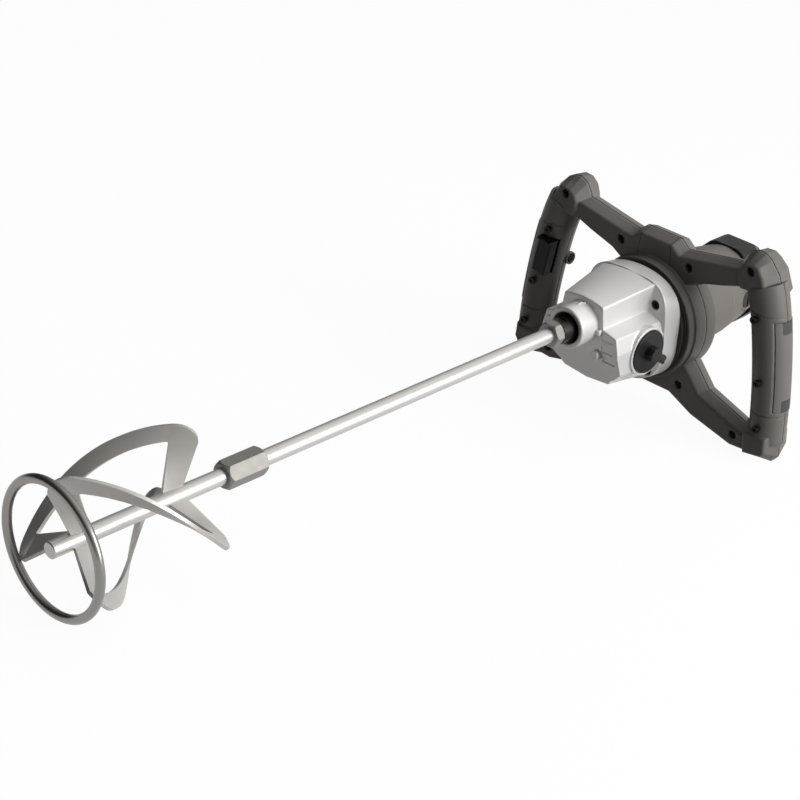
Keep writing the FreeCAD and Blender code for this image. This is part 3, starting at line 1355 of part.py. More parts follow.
# Housings behind the gear case
FLANGE_DEPTH = f"frame_face + bar_depth + ring_rear_depth - ring_rear_wall - {MOTOR_FACE}"
housing = turned_body("motor_housing_wall", (
    ("stator_diameter / 2 + seat_gap", "0"), ("ring_bore / 2 - clear_gap", "0"),
    ("ring_bore / 2 - clear_gap", FLANGE_DEPTH), ("barrel_diameter / 2", FLANGE_DEPTH),
    ("barrel_end_diameter / 2", f"seam_at - {MOTOR_FACE}"),
    ("stator_diameter / 2 + seat_gap", f"seam_at - {MOTOR_FACE}"),
))
screw_holes = doc.addObject("Part::Feature", "motor_housing_holes")
hole_depth = land_at + size("case_screw_sink") + size("case_screw_length") + size("clear_gap") - motor_face
screw_holes.Shape = Part.makeCompound([
    rod_shape(size("case_screw_diameter") / 2 + size("seat_gap"), 0, hole_depth, x, z - motor_z)
    for x, z in case_screw_places
])
keep("motor_housing", cut("motor_housing", housing, screw_holes), at(0, motor_face, motor_z))
housing_narrowing = size("barrel_end_diameter") - size("brush_housing_end_diameter")
housing_slope = housing_narrowing / size("brush_housing_length")
brush_wall = (size("barrel_end_diameter") - housing_slope * (brush_at - size("seam_at"))) / 2
cap_screw_places = [
    (size("cap_screw_circle") / 2 * math.cos(math.pi * (2 * k + 1) / CAP_SCREWS),
     motor_z + size("cap_screw_circle") / 2 * math.sin(math.pi * (2 * k + 1) / CAP_SCREWS))
    for k in range(CAP_SCREWS)
]


def brush_housing_shape():
    """Tapered shell round the brushes, its back wall carrying the tail bearing and four screw bosses."""
    start = size("seam_at")
    length = size("brush_housing_length")
    wall = size("barrel_wall")
    front, back = size("barrel_end_diameter") / 2, size("brush_housing_end_diameter") / 2
    axis = (Vector(0, start, motor_z), Vector(0, 1, 0))
    outside = Part.makeCone(front, back, length, *axis)
    inside = Part.makeCone(front - wall, back - wall, length, *axis)
    inside = inside.cut(rod_shape(front, cap_at - wall, wall, 0, motor_z))
    seat = size("rear_bearing_diameter") / 2
    rim = rod_shape(seat + wall, cap_at - wall, wall + size("rear_bearing_width"), 0, motor_z)
    posts = [
        rod_shape(size("cap_boss") / 2, cap_at - size("cap_boss_depth"), size("cap_boss_depth"), x, z)
        for x, z in cap_screw_places
    ]
    cuts = [
        rod_shape(seat + size("seat_gap"), tail_bearing_at, size("rear_bearing_width"), 0, motor_z),
        rod_shape(size("shaft_diameter") / 2 + size("clear_gap"), start, length, 0, motor_z),
        cross_rod(size("brush_cap_diameter") / 2 + size("slide_gap"), -2 * front, 4 * front,
                  brush_at, motor_z),
    ]
    for x, z in cap_screw_places:
        cuts.append(rod_shape(size("cap_screw_diameter") / 2 + size("seat_gap"),
                              cap_at - size("cap_boss_depth"), size("cap_boss_depth"), x, z))
    return joined([outside.cut(inside), rim] + posts).cut(cuts)


feature("brush_housing", brush_housing_shape())

# Brush gear: a pair each of carbon brushes, their holders and the screwed caps outside
brush_cap_end = brush_wall + size("brush_cap_stand")
brush_cap_start = brush_cap_end - size("brush_cap_height")
brush_tip = size("commutator_diameter") / 2 + size("slide_gap")


def on_both_sides(shape):
    return Part.makeCompound([shape, shape.mirror(Vector(), Vector(1, 0, 0))])


def brush_block(start, end, spare):
    half_wide = size("brush_width") / 2 + spare
    half_high = size("brush_height") / 2 + spare
    low, high = motor_z - half_high, motor_z + half_high
    return block((start, brush_at - half_wide, low), (end, brush_at + half_wide, high))


def brush_cap_shape():
    height = size("brush_cap_height")
    cap = cross_rod(size("brush_cap_diameter") / 2, brush_cap_start, height, brush_at, motor_z)
    rim = [edge for edge in cap.Edges if edge.BoundBox.XMin > brush_cap_start + height / 2]
    cap = cap.makeChamfer(size("brush_cap_stand"), rim)
    half = size("brush_cap_slot") / 2
    reach = size("brush_cap_diameter")
    slot = block(
        (brush_cap_end - half, brush_at - half, motor_z - reach),
        (brush_cap_end, brush_at + half, motor_z + reach),
    )
    return cap.cut(slot)


feature("carbon_brushes", on_both_sides(brush_block(brush_tip, brush_tip + size("brush_length"), 0)))
feature("brush_holders", on_both_sides(
    brush_block(brush_tip + size("holder_gap"), brush_cap_start, size("holder_wall")).cut(
        brush_block(brush_tip, brush_cap_start, size("seat_gap")))))
feature("brush_caps", on_both_sides(brush_cap_shape()))

# Rear cap: eight-sided with turned-off corners, narrowing at its end, with vents and four long screws
cap_end = cap_at + size("cap_length")
cap_taper_at = cap_end - size("cap_taper_length")


def eight_sided(flats):
    radius = flats / 2 / math.cos(math.pi / CAP_SIDES)
    turns = [math.pi * (2 * k + 1) / CAP_SIDES for k in range(CAP_SIDES)]
    return [(radius * math.cos(turn), motor_z + radius * math.sin(turn)) for turn in turns]


def rear_cap_shape():
    front = cap_at - size("cap_overlap")
    wall = size("cap_wall")
    over = size("overrun")
    outside = joined([
        prism(eight_sided(size("cap_flats")), front, cap_taper_at - front),
        ruled(eight_sided(size("cap_flats")), cap_taper_at, eight_sided(size("cap_end_flats")), cap_end),
    ]).common(rod_shape(size("cap_round_diameter") / 2, front, cap_end - front, 0, motor_z))
    room = size("brush_housing_end_diameter") / 2 - size("barrel_wall")
    hollow = rod_shape(room, cap_at, cap_taper_at - cap_at, 0, motor_z).fuse(Part.makeCone(
        room, size("cap_end_flats") / 2 - wall, size("cap_taper_length") - wall,
        Vector(0, cap_taper_at, motor_z), Vector(0, 1, 0)))
    posts = [rod_shape(size("cap_boss") / 2, cap_at, cap_end - cap_at, x, z) for x, z in cap_screw_places]
    slope = housing_slope / 2 * size("cap_overlap")
    pocket = rod_shape(size("brush_housing_end_diameter") / 2 + slope + size("seat_gap"), front - over,
                       cap_at - front + over, 0, motor_z)
    vent = block(
        (-size("vent_width") / 2, cap_end - wall - over, motor_z + size("vent_inner") / 2),
        (size("vent_width") / 2, cap_end + over, motor_z + size("vent_outer") / 2),
    )
    cuts = [pocket] + around_motor(vent, VENTS)
    seat = cap_end - size("cap_screw_head_height")
    for x, z in cap_screw_places:
        cuts.append(rod_shape(size("cap_screw_diameter") / 2 + size("slide_gap"), cap_at, cap_end, x, z))
        cuts.append(rod_shape(size("cap_screw_head") / 2 + size("slide_gap"), seat, cap_end, x, z))
    return outside.cut(hollow.cut(posts)).cut(cuts)


feature("rear_cap", rear_cap_shape())


def rear_cap_screws_shape():
    seat = cap_end - size("cap_screw_head_height")
    screws = []
    for x, z in cap_screw_places:
        head = rod_shape(size("cap_screw_head") / 2, seat, size("cap_screw_head_height"), x, z)
        shank_at = seat - size("cap_screw_length")
        shank = rod_shape(size("cap_screw_diameter") / 2, shank_at, size("cap_screw_length"), x, z)
        cross = both_sides(scaled(CROSS_SHARES, size("cap_screw_head"), size("cap_screw_head")))
        socket = prism([(x + px, z + pz) for px, pz in cross], seat + size("cap_screw_head_height") / 2,
                       size("cap_screw_head_height"))
        screws.append(shank.fuse(head).cut(socket))
    return Part.makeCompound(screws)


feature("rear_cap_screws", rear_cap_screws_shape())
doc.recompute()

# Rest: the tool lies on the paddle ring and on the bottom edges of both feet, which gives its tilt
drop_between = frame_tall - ring_radius
reach_between = parting - ring_at
tilt = math.acos(size("ring_wire") / 2 / math.hypot(drop_between, reach_between)) - math.atan2(
    reach_between, drop_between)
lean = Placement(Vector(), Rotation(Vector(1, 0, 0), math.degrees(tilt)))
for item in pieces.values():
    item.Placement = lean.multiply(item.Placement)
doc.recompute()
whole = Part.makeCompound([item.Shape for item in pieces.values()]).optimalBoundingBox(False, False)
to_origin = at(-(whole.XMin + whole.XMax) / 2, -(whole.YMin + whole.YMax) / 2, -whole.ZMin)
for item in pieces.values():
    item.Placement = to_origin.multiply(item.Placement)
doc.recompute()

failed = [item.Name for item in doc.Objects if "Invalid" in item.State or "Error" in item.State]
if failed:
    raise RuntimeError(f"objects that did not compute: {failed}")
for label, item in pieces.items():
    if item.Shape.isNull() or not item.Shape.isValid() or not item.Shape.Solids:
        raise RuntimeError(f"no valid solid: {label}")
os.makedirs("parts", exist_ok=True)
for label, item in pieces.items():
    item.Shape.exportStep(f"parts/{label}.step")
print(len(pieces), "pieces, tilt", round(math.degrees(tilt), 3))
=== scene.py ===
import json
import math
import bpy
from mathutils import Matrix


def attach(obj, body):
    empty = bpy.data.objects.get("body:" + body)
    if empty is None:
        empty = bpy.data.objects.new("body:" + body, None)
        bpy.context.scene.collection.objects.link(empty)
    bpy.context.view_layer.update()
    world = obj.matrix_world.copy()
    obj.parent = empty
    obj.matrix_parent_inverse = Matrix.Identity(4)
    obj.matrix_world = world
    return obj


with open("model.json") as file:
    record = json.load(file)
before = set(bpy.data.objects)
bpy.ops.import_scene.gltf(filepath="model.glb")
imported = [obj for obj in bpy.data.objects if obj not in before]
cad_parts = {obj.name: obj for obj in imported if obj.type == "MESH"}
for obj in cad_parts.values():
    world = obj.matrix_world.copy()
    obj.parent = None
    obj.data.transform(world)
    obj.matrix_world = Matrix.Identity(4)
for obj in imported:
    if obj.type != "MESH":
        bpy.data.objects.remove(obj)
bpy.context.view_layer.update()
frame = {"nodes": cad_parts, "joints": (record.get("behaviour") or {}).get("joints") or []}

from types import SimpleNamespace

import bpy
from mathutils import Matrix, Vector

# Studio camera. The tool lies on its paddle ring and handle feet, so the view is set in the tool's own axes,
# with the spindle's joint as origin and along Y, and then tilted with the tool.
spindle_joint = next(joint for joint in frame["joints"] if joint["name"] == "spindle_spin")
spindle_axis = Vector(spindle_joint["axis"])
tool_origin = Vector(spindle_joint["pos_m"])
tool_tilt = math.atan2(spindle_axis.z, spindle_axis.y)
tool_turn = Matrix.Rotation(tool_tilt, 3, "X")
mm = 0.001


def in_tool(x, y, z):
    """A place in the tool's own axes, millimetres, as a place in the frame, metres."""
    return tool_origin + tool_turn @ Vector((x, y, z)) * mm


view_azimuth = math.radians(42.56)
view_elevation = math.radians(28.48)
view_roll = math.radians(4.09)
level_right = Vector((math.cos(view_azimuth), math.sin(view_azimuth), 0))
view_back = Vector((
    math.sin(view_azimuth) * math.cos(view_elevation),
    -math.cos(view_azimuth) * math.cos(view_elevation),
    math.sin(view_elevation),
))
level_up = view_back.cross(level_right)
view_right = math.cos(view_roll) * level_right + math.sin(view_roll) * level_up
view_up = math.cos(view_roll) * level_up - math.sin(view_roll) * level_right
view_axes = Matrix((tool_turn @ view_right, tool_turn @ view_up, tool_turn @ view_back)).transposed()
view_place = in_tool(1154.9, -1472.9, 925.8)
camera_data = bpy.data.cameras.new("studio_camera")
camera_data.lens = 102.98
camera_data.sensor_width = 36
camera_data.clip_end = 40
camera = bpy.data.objects.new("studio_camera", camera_data)
bpy.context.scene.collection.objects.link(camera)
camera.matrix_world = Matrix.Translation(view_place) @ view_axes.to_4x4()
bpy.context.scene.camera = camera
bpy.context.scene.view_settings.view_transform = "Standard"


# Studio light. A softbox stands on the tool's right, so the sides that face right are bright. The world is a
# large lit cloth above and behind the tool, which leaves the tops middling and the fronts dark.
def linear(hex_colour):
    """An sRGB hex colour as linear RGBA."""
    channels = [int(hex_colour[place:place + 2], 16) / 255 for place in (1, 3, 5)]
    return [c / 12.92 if c <= 0.04045 else ((c + 0.055) / 1.055) ** 2.4 for c in channels] + [1.0]


def add_node(tree, kind, settings=None, links=None):
    """Add a node, set its properties, and link or set its inputs. An input is a socket or a plain value."""
    node = tree.nodes.new(kind)
    for name, value in (settings or {}).items():
        setattr(node, name, value)
    for name, value in (links or {}).items():
        socket = node.inputs[name]
        if isinstance(value, bpy.types.NodeSocket):
            tree.links.new(value, socket)
        else:
            socket.default_value = value
    return node


cloth_from = Vector((0.50, 0.66, 0.56)).normalized()
cloth_edge, cloth_middle = -0.15, 0.95
glow_in_front, glow_of_cloth = 0.03, 1.12
world = bpy.data.worlds.new("studio_world")
bpy.context.scene.world = world
world.use_nodes = True
world.node_tree.nodes.clear()
direction = add_node(world.node_tree, "ShaderNodeTexCoord")
facing = add_node(world.node_tree, "ShaderNodeVectorMath", {"operation": "DOT_PRODUCT"}, {
    0: direction.outputs["Generated"], 1: cloth_from})
glow = add_node(world.node_tree, "ShaderNodeMapRange", {"interpolation_type": "SMOOTHSTEP"}, {
    "Value": facing.outputs["Value"], "From Min": cloth_edge, "From Max": cloth_middle,
    "To Min": glow_in_front, "To Max": glow_of_cloth})
studio = add_node(world.node_tree, "ShaderNodeBackground", links={
    "Color": linear("#fdfcfb"), "Strength": glow.outputs["Result"]})
add_node(world.node_tree, "ShaderNodeOutputWorld", links={"Surface": studio.outputs["Background"]})

key_from = Vector((0.86, 0.30, 0.38)).normalized()
key_distance = 2.0
key_data = bpy.data.lights.new("key_softbox", "AREA")
key_data.size = 1.1
key_data.energy = 36
key = bpy.data.objects.new("key_softbox", key_data)
bpy.context.scene.collection.objects.link(key)
key.location = key_from * key_distance
key.rotation_euler = (-key_from).to_track_quat("-Z", "Y").to_euler()

# Studio floor: a sheet of matte white paper. It stays white to the camera and in reflections, and keeps the
# tool's soft shadow.
floor_width = 40
white_share = 0.95
bpy.ops.object.select_all(action="DESELECT")
bpy.ops.mesh.primitive_plane_add(size=floor_width, location=(0, 0, 0))
floor = bpy.context.object
floor.name = "studio_floor"
paper = bpy.data.materials.new("matte_white_paper")
paper.use_nodes = True
paper.node_tree.nodes.clear()
ray = add_node(paper.node_tree, "ShaderNodeLightPath")
mirrored = add_node(paper.node_tree, "ShaderNodeMath", {"operation": "ADD"}, {
    0: ray.outputs["Is Glossy Ray"], 1: ray.outputs["Is Transmission Ray"]})
shown = add_node(paper.node_tree, "ShaderNodeMath", {"operation": "ADD", "use_clamp": True}, {
    0: ray.outputs["Is Camera Ray"], 1: mirrored.outputs["Value"]})
paper_matte = add_node(paper.node_tree, "ShaderNodeBsdfDiffuse", links={"Color": linear("#f4f4f4")})
paper_white = add_node(paper.node_tree, "ShaderNodeEmission", links={
    "Color": linear("#ffffff"), "Strength": shown.outputs["Value"]})
paper_mix = add_node(paper.node_tree, "ShaderNodeMixShader", links={
    "Fac": white_share, 1: paper_matte.outputs["BSDF"], 2: paper_white.outputs["Emission"]})
add_node(paper.node_tree, "ShaderNodeOutputMaterial", links={"Surface": paper_mix.outputs["Shader"]})
floor.data.materials.append(paper)


# Paddle rods: cold drawn round bar of mild steel, left bright and screwed into the coupling. Drawing leaves
# fine streaks along the bar, drawn here at 1.5 mm so that they show, and handling leaves dull patches.
def new_look(name, edge_mm, finish):
    """A material with its shader's finish, the tool's axes in metres, and a normal that softens edges."""
    material = bpy.data.materials.new(name)
    material.use_nodes = True
    tree = material.node_tree
    tree.nodes.clear()
    place = add_node(tree, "ShaderNodeTexCoord")
    along = add_node(tree, "ShaderNodeMapping", links={
        "Vector": place.outputs["Object"], "Rotation": (-tool_tilt, 0, 0),
        "Location": -(tool_turn.transposed() @ tool_origin)})
    rounded = add_node(tree, "ShaderNodeBevel", {"samples": 6}, {"Radius": edge_mm * mm})
    shader = add_node(tree, "ShaderNodeBsdfPrincipled", links={"Normal": rounded.outputs["Normal"], **finish})
    add_node(tree, "ShaderNodeOutputMaterial", links={"Surface": shader.outputs["BSDF"]})
    return SimpleNamespace(material=material, tree=tree, shader=shader,
                           along=along.outputs["Vector"], rounded=rounded.outputs["Normal"])


def patchy_gloss(look, size_mm, detail, low, high):
    """Let the roughness drift between two values, in patches of about this size."""
    patches = add_node(look.tree, "ShaderNodeTexNoise", links={
        "Vector": look.along, "Scale": 1 / (size_mm * mm), "Detail": detail})
    spread = add_node(look.tree, "ShaderNodeMapRange", links={
        "Value": patches.outputs["Fac"], "To Min": low, "To Max": high})
    look.tree.links.new(spread.outputs["Result"], look.shader.inputs["Roughness"])


def raise_texture(look, strength, depth_mm, texture, height, links, settings=None):
    """Raise a texture on the surface, in the tool's axes unless the links give others. Returns its height."""
    pattern = add_node(look.tree, texture, settings, {"Vector": look.along, **links})
    bump = add_node(look.tree, "ShaderNodeBump", links={
        "Height": pattern.outputs[height], "Strength": strength, "Distance": depth_mm * mm,
        "Normal": look.rounded})
    look.tree.links.new(bump.outputs["Normal"], look.shader.inputs["Normal"])
    return pattern.outputs[height]


def finish_nodes(look, names):
    for name in names:
        materials = frame["nodes"][name].data.materials
        materials.clear()
        materials.append(look.material)


bar_steel = new_look("bright_drawn_steel", edge_mm=0.8, finish={"Metallic": 0.65})
streak_mm = 1.5
streak_stretch = 0.02
patchy_gloss(bar_steel, size_mm=45, detail=3.0, low=0.32, high=0.44)
stretched = add_node(bar_steel.tree, "ShaderNodeMapping", links={
    "Vector": bar_steel.along, "Scale": (1, streak_stretch, 1)})
streaks = raise_texture(
    bar_steel, strength=0.05, depth_mm=0.1, texture="ShaderNodeTexNoise", height="Fac",
    links={"Vector": stretched.outputs["Vector"], "Scale": 1 / (streak_mm * mm), "Detail": 2.0})
streak_tint = add_node(bar_steel.tree, "ShaderNodeValToRGB", links={"Fac": streaks})
streak_tint.color_ramp.elements[0].color = linear("#b8b6b3")
streak_tint.color_ramp.elements[1].color = linear("#cfcdca")
bar_steel.tree.links.new(streak_tint.outputs["Color"], bar_steel.shader.inputs["Base Color"])
finish_nodes(bar_steel, ("paddle_upper_rod", "paddle_lower_rod"))

# Coupling and threaded hexagon: cold drawn hexagon bar, drilled and turned at the ends. Spanners have dulled
# the flats, so they are rougher than the rods. Their base colour is also darker than the rods', as painted
# shade that tones down the softbox's highlight on the flats.
hexagon_steel_painted_shade = new_look("dulled_hexagon_bar_painted_shade", edge_mm=0.8, finish={
    "Base Color": linear("#8b8884"), "Metallic": 0.6})
patchy_gloss(hexagon_steel_painted_shade, size_mm=8, detail=4.0, low=0.48, high=0.6)
finish_nodes(hexagon_steel_painted_shade, ("rod_coupling", "paddle_hex"))

# Paddle ring: drawn steel wire, bent to a circle, welded and polished. It mirrors more than the rods, with
# light scuffs from the bucket.
# Its base colour is darker than the rods' steel, as painted shade.
ring_wire_painted_shade = new_look("polished_steel_wire", edge_mm=0.8, finish={
    "Base Color": linear("#8f8c88"), "Metallic": 0.9})
patchy_gloss(ring_wire_painted_shade, size_mm=14, detail=4.0, low=0.22, high=0.38)
finish_nodes(ring_wire_painted_shade, ("paddle_ring",))


# Paddle blades: rolled steel strip, cut to a C, twisted and joined to the rod and the ring. Rolling leaves a
# satin face with faint clouds and a grain, drawn at 1.2 mm so that it shows. The edges get a painted
# highlight.
def edge_tint(look, starts, full, face, edge):
    """A colour that changes from faces to edges, by how far the softened normal turns from the face's own."""
    shape = add_node(look.tree, "ShaderNodeNewGeometry")
    turned = add_node(look.tree, "ShaderNodeVectorMath", {"operation": "DOT_PRODUCT"}, {
        0: look.rounded, 1: shape.outputs["Normal"]})
    on_edge = add_node(look.tree, "ShaderNodeMapRange", links={
        "Value": turned.outputs["Value"], "From Min": starts, "From Max": full, "To Min": 0.0, "To Max": 1.0})
    tint = add_node(look.tree, "ShaderNodeValToRGB", links={"Fac": on_edge.outputs["Result"]})
    tint.color_ramp.elements[0].color = linear(face)
    tint.color_ramp.elements[1].color = linear(edge)
    return tint.outputs["Color"]


strip_steel = new_look("rolled_steel_strip", edge_mm=0.5, finish={"Metallic": 0.5})
roll_mm = 1.2
patchy_gloss(strip_steel, size_mm=18, detail=4.0, low=0.38, high=0.5)
# Painted highlight: the rounded edges are painted paler than the faces.
strip_edge_highlight = edge_tint(strip_steel, starts=0.99, full=0.8, face="#b4b1ad", edge="#dddbd8")
strip_steel.tree.links.new(strip_edge_highlight, strip_steel.shader.inputs["Base Color"])
raise_texture(
    strip_steel, strength=0.04, depth_mm=0.1, texture="ShaderNodeTexNoise", height="Fac",
    links={"Scale": 1 / (roll_mm * mm), "Detail": 2.0})
finish_nodes(strip_steel, ("paddle_blade_1", "paddle_blade_2", "paddle_blade_3"))

# Output spindle: turned steel with a black oxide finish, running in the case's two bearings. The lathe leaves
# fine rings, drawn at 0.9 mm so that they show, and the oxide is a little blotchy. A band texture counts 20
# radians to its unit, so its scale is worked out from a band 1 m wide.
spindle_black = new_look("black_oxide_steel", edge_mm=0.5, finish={
    "Base Color": linear("#3f3d3b"), "Metallic": 1.0})
metre_band = math.tau / 20
lathe_mm = 0.9
patchy_gloss(spindle_black, size_mm=9, detail=3.0, low=0.27, high=0.45)
raise_texture(
    spindle_black, strength=0.12, depth_mm=0.1, texture="ShaderNodeTexWave", height="Fac",
    settings={"bands_direction": "Y"},
    links={"Scale": metre_band / (lathe_mm * mm), "Distortion": 0.4, "Detail": 1.0})
finish_nodes(spindle_black, ("output_spindle",))

# Gears, shafts, gear change and ball bearings inside: cut, hardened and ground steel, pressed, keyed or slid
# on their shafts. The grinding marks under the oil film are drawn at 2.5 mm so that they show.
gear_steel = new_look("hardened_gear_steel", edge_mm=0.3, finish={
    "Base Color": linear("#97979a"), "Metallic": 1.0})
patchy_gloss(gear_steel, size_mm=2.5, detail=4.0, low=0.2, high=0.38)
finish_nodes(gear_steel, (
    "low_gear", "high_gear", "shift_sleeve", "layshaft", "layshaft_gear", "selector_cam", "shift_fork",
    "shift_rail", "armature_shaft", "spindle_front_bearing", "spindle_rear_bearing",
    "armature_front_bearing", "armature_rear_bearing"))

# Layshaft bushes and brush holders: pressed and sintered bronze, pushed into their seats. The powder leaves a
# grainy, porous face, with the pores drawn at 0.8 mm so that they show.
bronze = new_look("sintered_bronze", edge_mm=0.3, finish={
    "Base Color": linear("#9a7040"), "Metallic": 1.0, "Roughness": 0.45})
pore_mm = 0.8
raise_texture(
    bronze, strength=0.2, depth_mm=0.1, texture="ShaderNodeTexVoronoi", height="Distance",
    links={"Scale": 1 / (pore_mm * mm)})
finish_nodes(bronze, ("layshaft_front_bush", "layshaft_rear_bush", "brush_holders"))

# Spindle seal: moulded nitrile rubber, pressed into the collar with its lip on the spindle. It is matt black,
# with a faint bloom.
seal_rubber = new_look("nitrile_rubber", edge_mm=0.4, finish={
    "Base Color": linear("#171717"), "Metallic": 0.0})
patchy_gloss(seal_rubber, size_mm=3, detail=3.0, low=0.5, high=0.72)
finish_nodes(seal_rubber, ("spindle_seal",))

# Gear case, its plug and the bearing plate: die-cast aluminium, sprayed with silver lacquer. The lacquer has
# a slight orange peel and a flake drawn at 0.5 mm so that it shows. Its edges get a painted highlight.
silver_cast = new_look("silver_lacquered_casting", edge_mm=3.0, finish={"Metallic": 0.2})
peel_mm = 2.2
flake_mm = 0.5
flake = add_node(silver_cast.tree, "ShaderNodeTexVoronoi", links={
    "Vector": silver_cast.along, "Scale": 1 / (flake_mm * mm)})
sparkle = add_node(silver_cast.tree, "ShaderNodeMapRange", links={
    "Value": flake.outputs["Distance"], "To Min": 0.30, "To Max": 0.42})
silver_cast.tree.links.new(sparkle.outputs["Result"], silver_cast.shader.inputs["Roughness"])
# Painted highlight: the rounded edges are painted paler than the faces.
lacquer_with_edge_highlight = edge_tint(silver_cast, starts=0.995, full=0.85, face="#d6d4d2", edge="#f1f0ef")
silver_cast.tree.links.new(lacquer_with_edge_highlight, silver_cast.shader.inputs["Base Color"])
raise_texture(
    silver_cast, strength=0.05, depth_mm=0.2, texture="ShaderNodeTexNoise", height="Fac",
    links={"Scale": 1 / (peel_mm * mm), "Detail": 2.0})
finish_nodes(silver_cast, ("gear_case", "gear_case_plug", "gear_plate"))

# Lug and forked rib on the case's front: cast in one with it. The lug stands 4 mm proud beside the collar,
# and the rib lies on top of the collar with its fork towards the case. Casting and lacquer round their edges.
smooth_below = math.radians(40)


def cast_bar(name, middle_mm, size_mm, turn, round_mm):
    """A rounded bar at a place in the tool's axes, turned about its upright. Its place is in its mesh."""
    bpy.ops.object.select_all(action="DESELECT")
    bpy.ops.mesh.primitive_cube_add(size=mm)
    bar = bpy.context.object
    bar.name = name
    bpy.ops.object.mode_set(mode="EDIT")
    bpy.ops.mesh.select_all(action="SELECT")
    bpy.ops.transform.resize(value=size_mm)
    bpy.ops.mesh.bevel(offset=round_mm * mm, segments=3, affect="EDGES")
    bpy.ops.object.mode_set(mode="OBJECT")
    upright = tool_turn.to_4x4() @ Matrix.Rotation(turn, 4, "Z")
    bar.matrix_world = Matrix.Translation(in_tool(*middle_mm)) @ upright
    bpy.ops.object.transform_apply(location=True, rotation=True, scale=True)
    bpy.ops.object.shade_smooth_by_angle(angle=smooth_below)
    return bar


lug_middle = (21.7, 21.5, -2.5)
lug = cast_bar("case_lug", lug_middle, size_mm=(6, 6, 5), turn=0, round_mm=0.7)
fork_middle = Vector((0.8, 17.6, 20.0))
arm_mm = 4.0
arm_overlap_mm = 1.0
arm_size = (arm_mm + arm_overlap_mm, 1.3, 2.0)
rib_bars = []
for arm_turn in (math.radians(-90), math.radians(50), math.radians(130)):
    arm_middle = fork_middle + Vector((math.cos(arm_turn), math.sin(arm_turn), 0)) * arm_mm / 2
    rib_bars.append(cast_bar("case_forked_rib", arm_middle, arm_size, arm_turn, round_mm=0.4))
for bar in rib_bars:
    bar.select_set(True)
bpy.context.view_layer.objects.active = rib_bars[0]
bpy.ops.object.join()
rib = bpy.context.object
for cast_detail in (lug, rib):
    cast_detail.data.materials.clear()
    cast_detail.data.materials.append(silver_cast.material)
    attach(cast_detail, "root")

# Handle shells, motor housing and brush housing: moulded glass-filled nylon in warm grey. The mould's fine
# spark-eroded grain is drawn at 0.7 mm so that it shows, and all rounded edges are painted a little paler.
# Two splayed lines 0.8 mm wide mark the middle block of the top bar, where the mould's inserts meet.
grey_nylon = new_look("moulded_grey_nylon", edge_mm=3.0, finish={"Metallic": 0.0, "Specular IOR Level": 0.3})
spark_mm = 0.7
line_lean = 0.11
line_place = 23.3 * mm
line_half_width = 0.4 * mm
block_foot = 34 * mm
patchy_gloss(grey_nylon, size_mm=40, detail=3.0, low=0.42, high=0.58)
nylon = edge_tint(grey_nylon, starts=0.995, full=0.8, face="#67635f", edge="#7d7975")
axes = add_node(grey_nylon.tree, "ShaderNodeSeparateXYZ", links={"Vector": grey_nylon.along})
sideways = add_node(grey_nylon.tree, "ShaderNodeMath", {"operation": "ABSOLUTE"}, {0: axes.outputs["X"]})
splayed = add_node(grey_nylon.tree, "ShaderNodeMath", {"operation": "MULTIPLY_ADD"}, {
    0: axes.outputs["Z"], 1: line_lean, 2: sideways.outputs["Value"]})
on_line = add_node(grey_nylon.tree, "ShaderNodeMath", {"operation": "COMPARE"}, {
    0: splayed.outputs["Value"], 1: line_place, 2: line_half_width})
on_block = add_node(grey_nylon.tree, "ShaderNodeMath", {"operation": "GREATER_THAN"}, {
    0: axes.outputs["Z"], 1: block_foot})
scribed = add_node(grey_nylon.tree, "ShaderNodeMath", {"operation": "MULTIPLY"}, {
    0: on_line.outputs["Value"], 1: on_block.outputs["Value"]})
# The mix node's colour sockets go by number, because its sockets for plain numbers have the same names.
first_colour, second_colour, mixed_colour = 6, 7, 2
lined = add_node(grey_nylon.tree, "ShaderNodeMix", {"data_type": "RGBA"}, {
    "Factor": scribed.outputs["Value"], first_colour: nylon, second_colour: linear("#3b3836")})
grey_nylon.tree.links.new(lined.outputs[mixed_colour], grey_nylon.shader.inputs["Base Color"])
raise_texture(
    grey_nylon, strength=0.12, depth_mm=0.1, texture="ShaderNodeTexNoise", height="Fac",
    links={"Scale": 1 / (spark_mm * mm), "Detail": 2.0})
finish_nodes(grey_nylon, ("front_handle_shell", "rear_handle_shell", "motor_housing", "brush_housing"))

# Rims round both brush caps and the lock-on button: raised rings of the same nylon, moulded in one with their
# shells, that keep a knock off the cap or the button. Each stands 0.2 mm below the face that it guards.
rim_round_mm = 0.5
rim_set_back_mm = 0.2


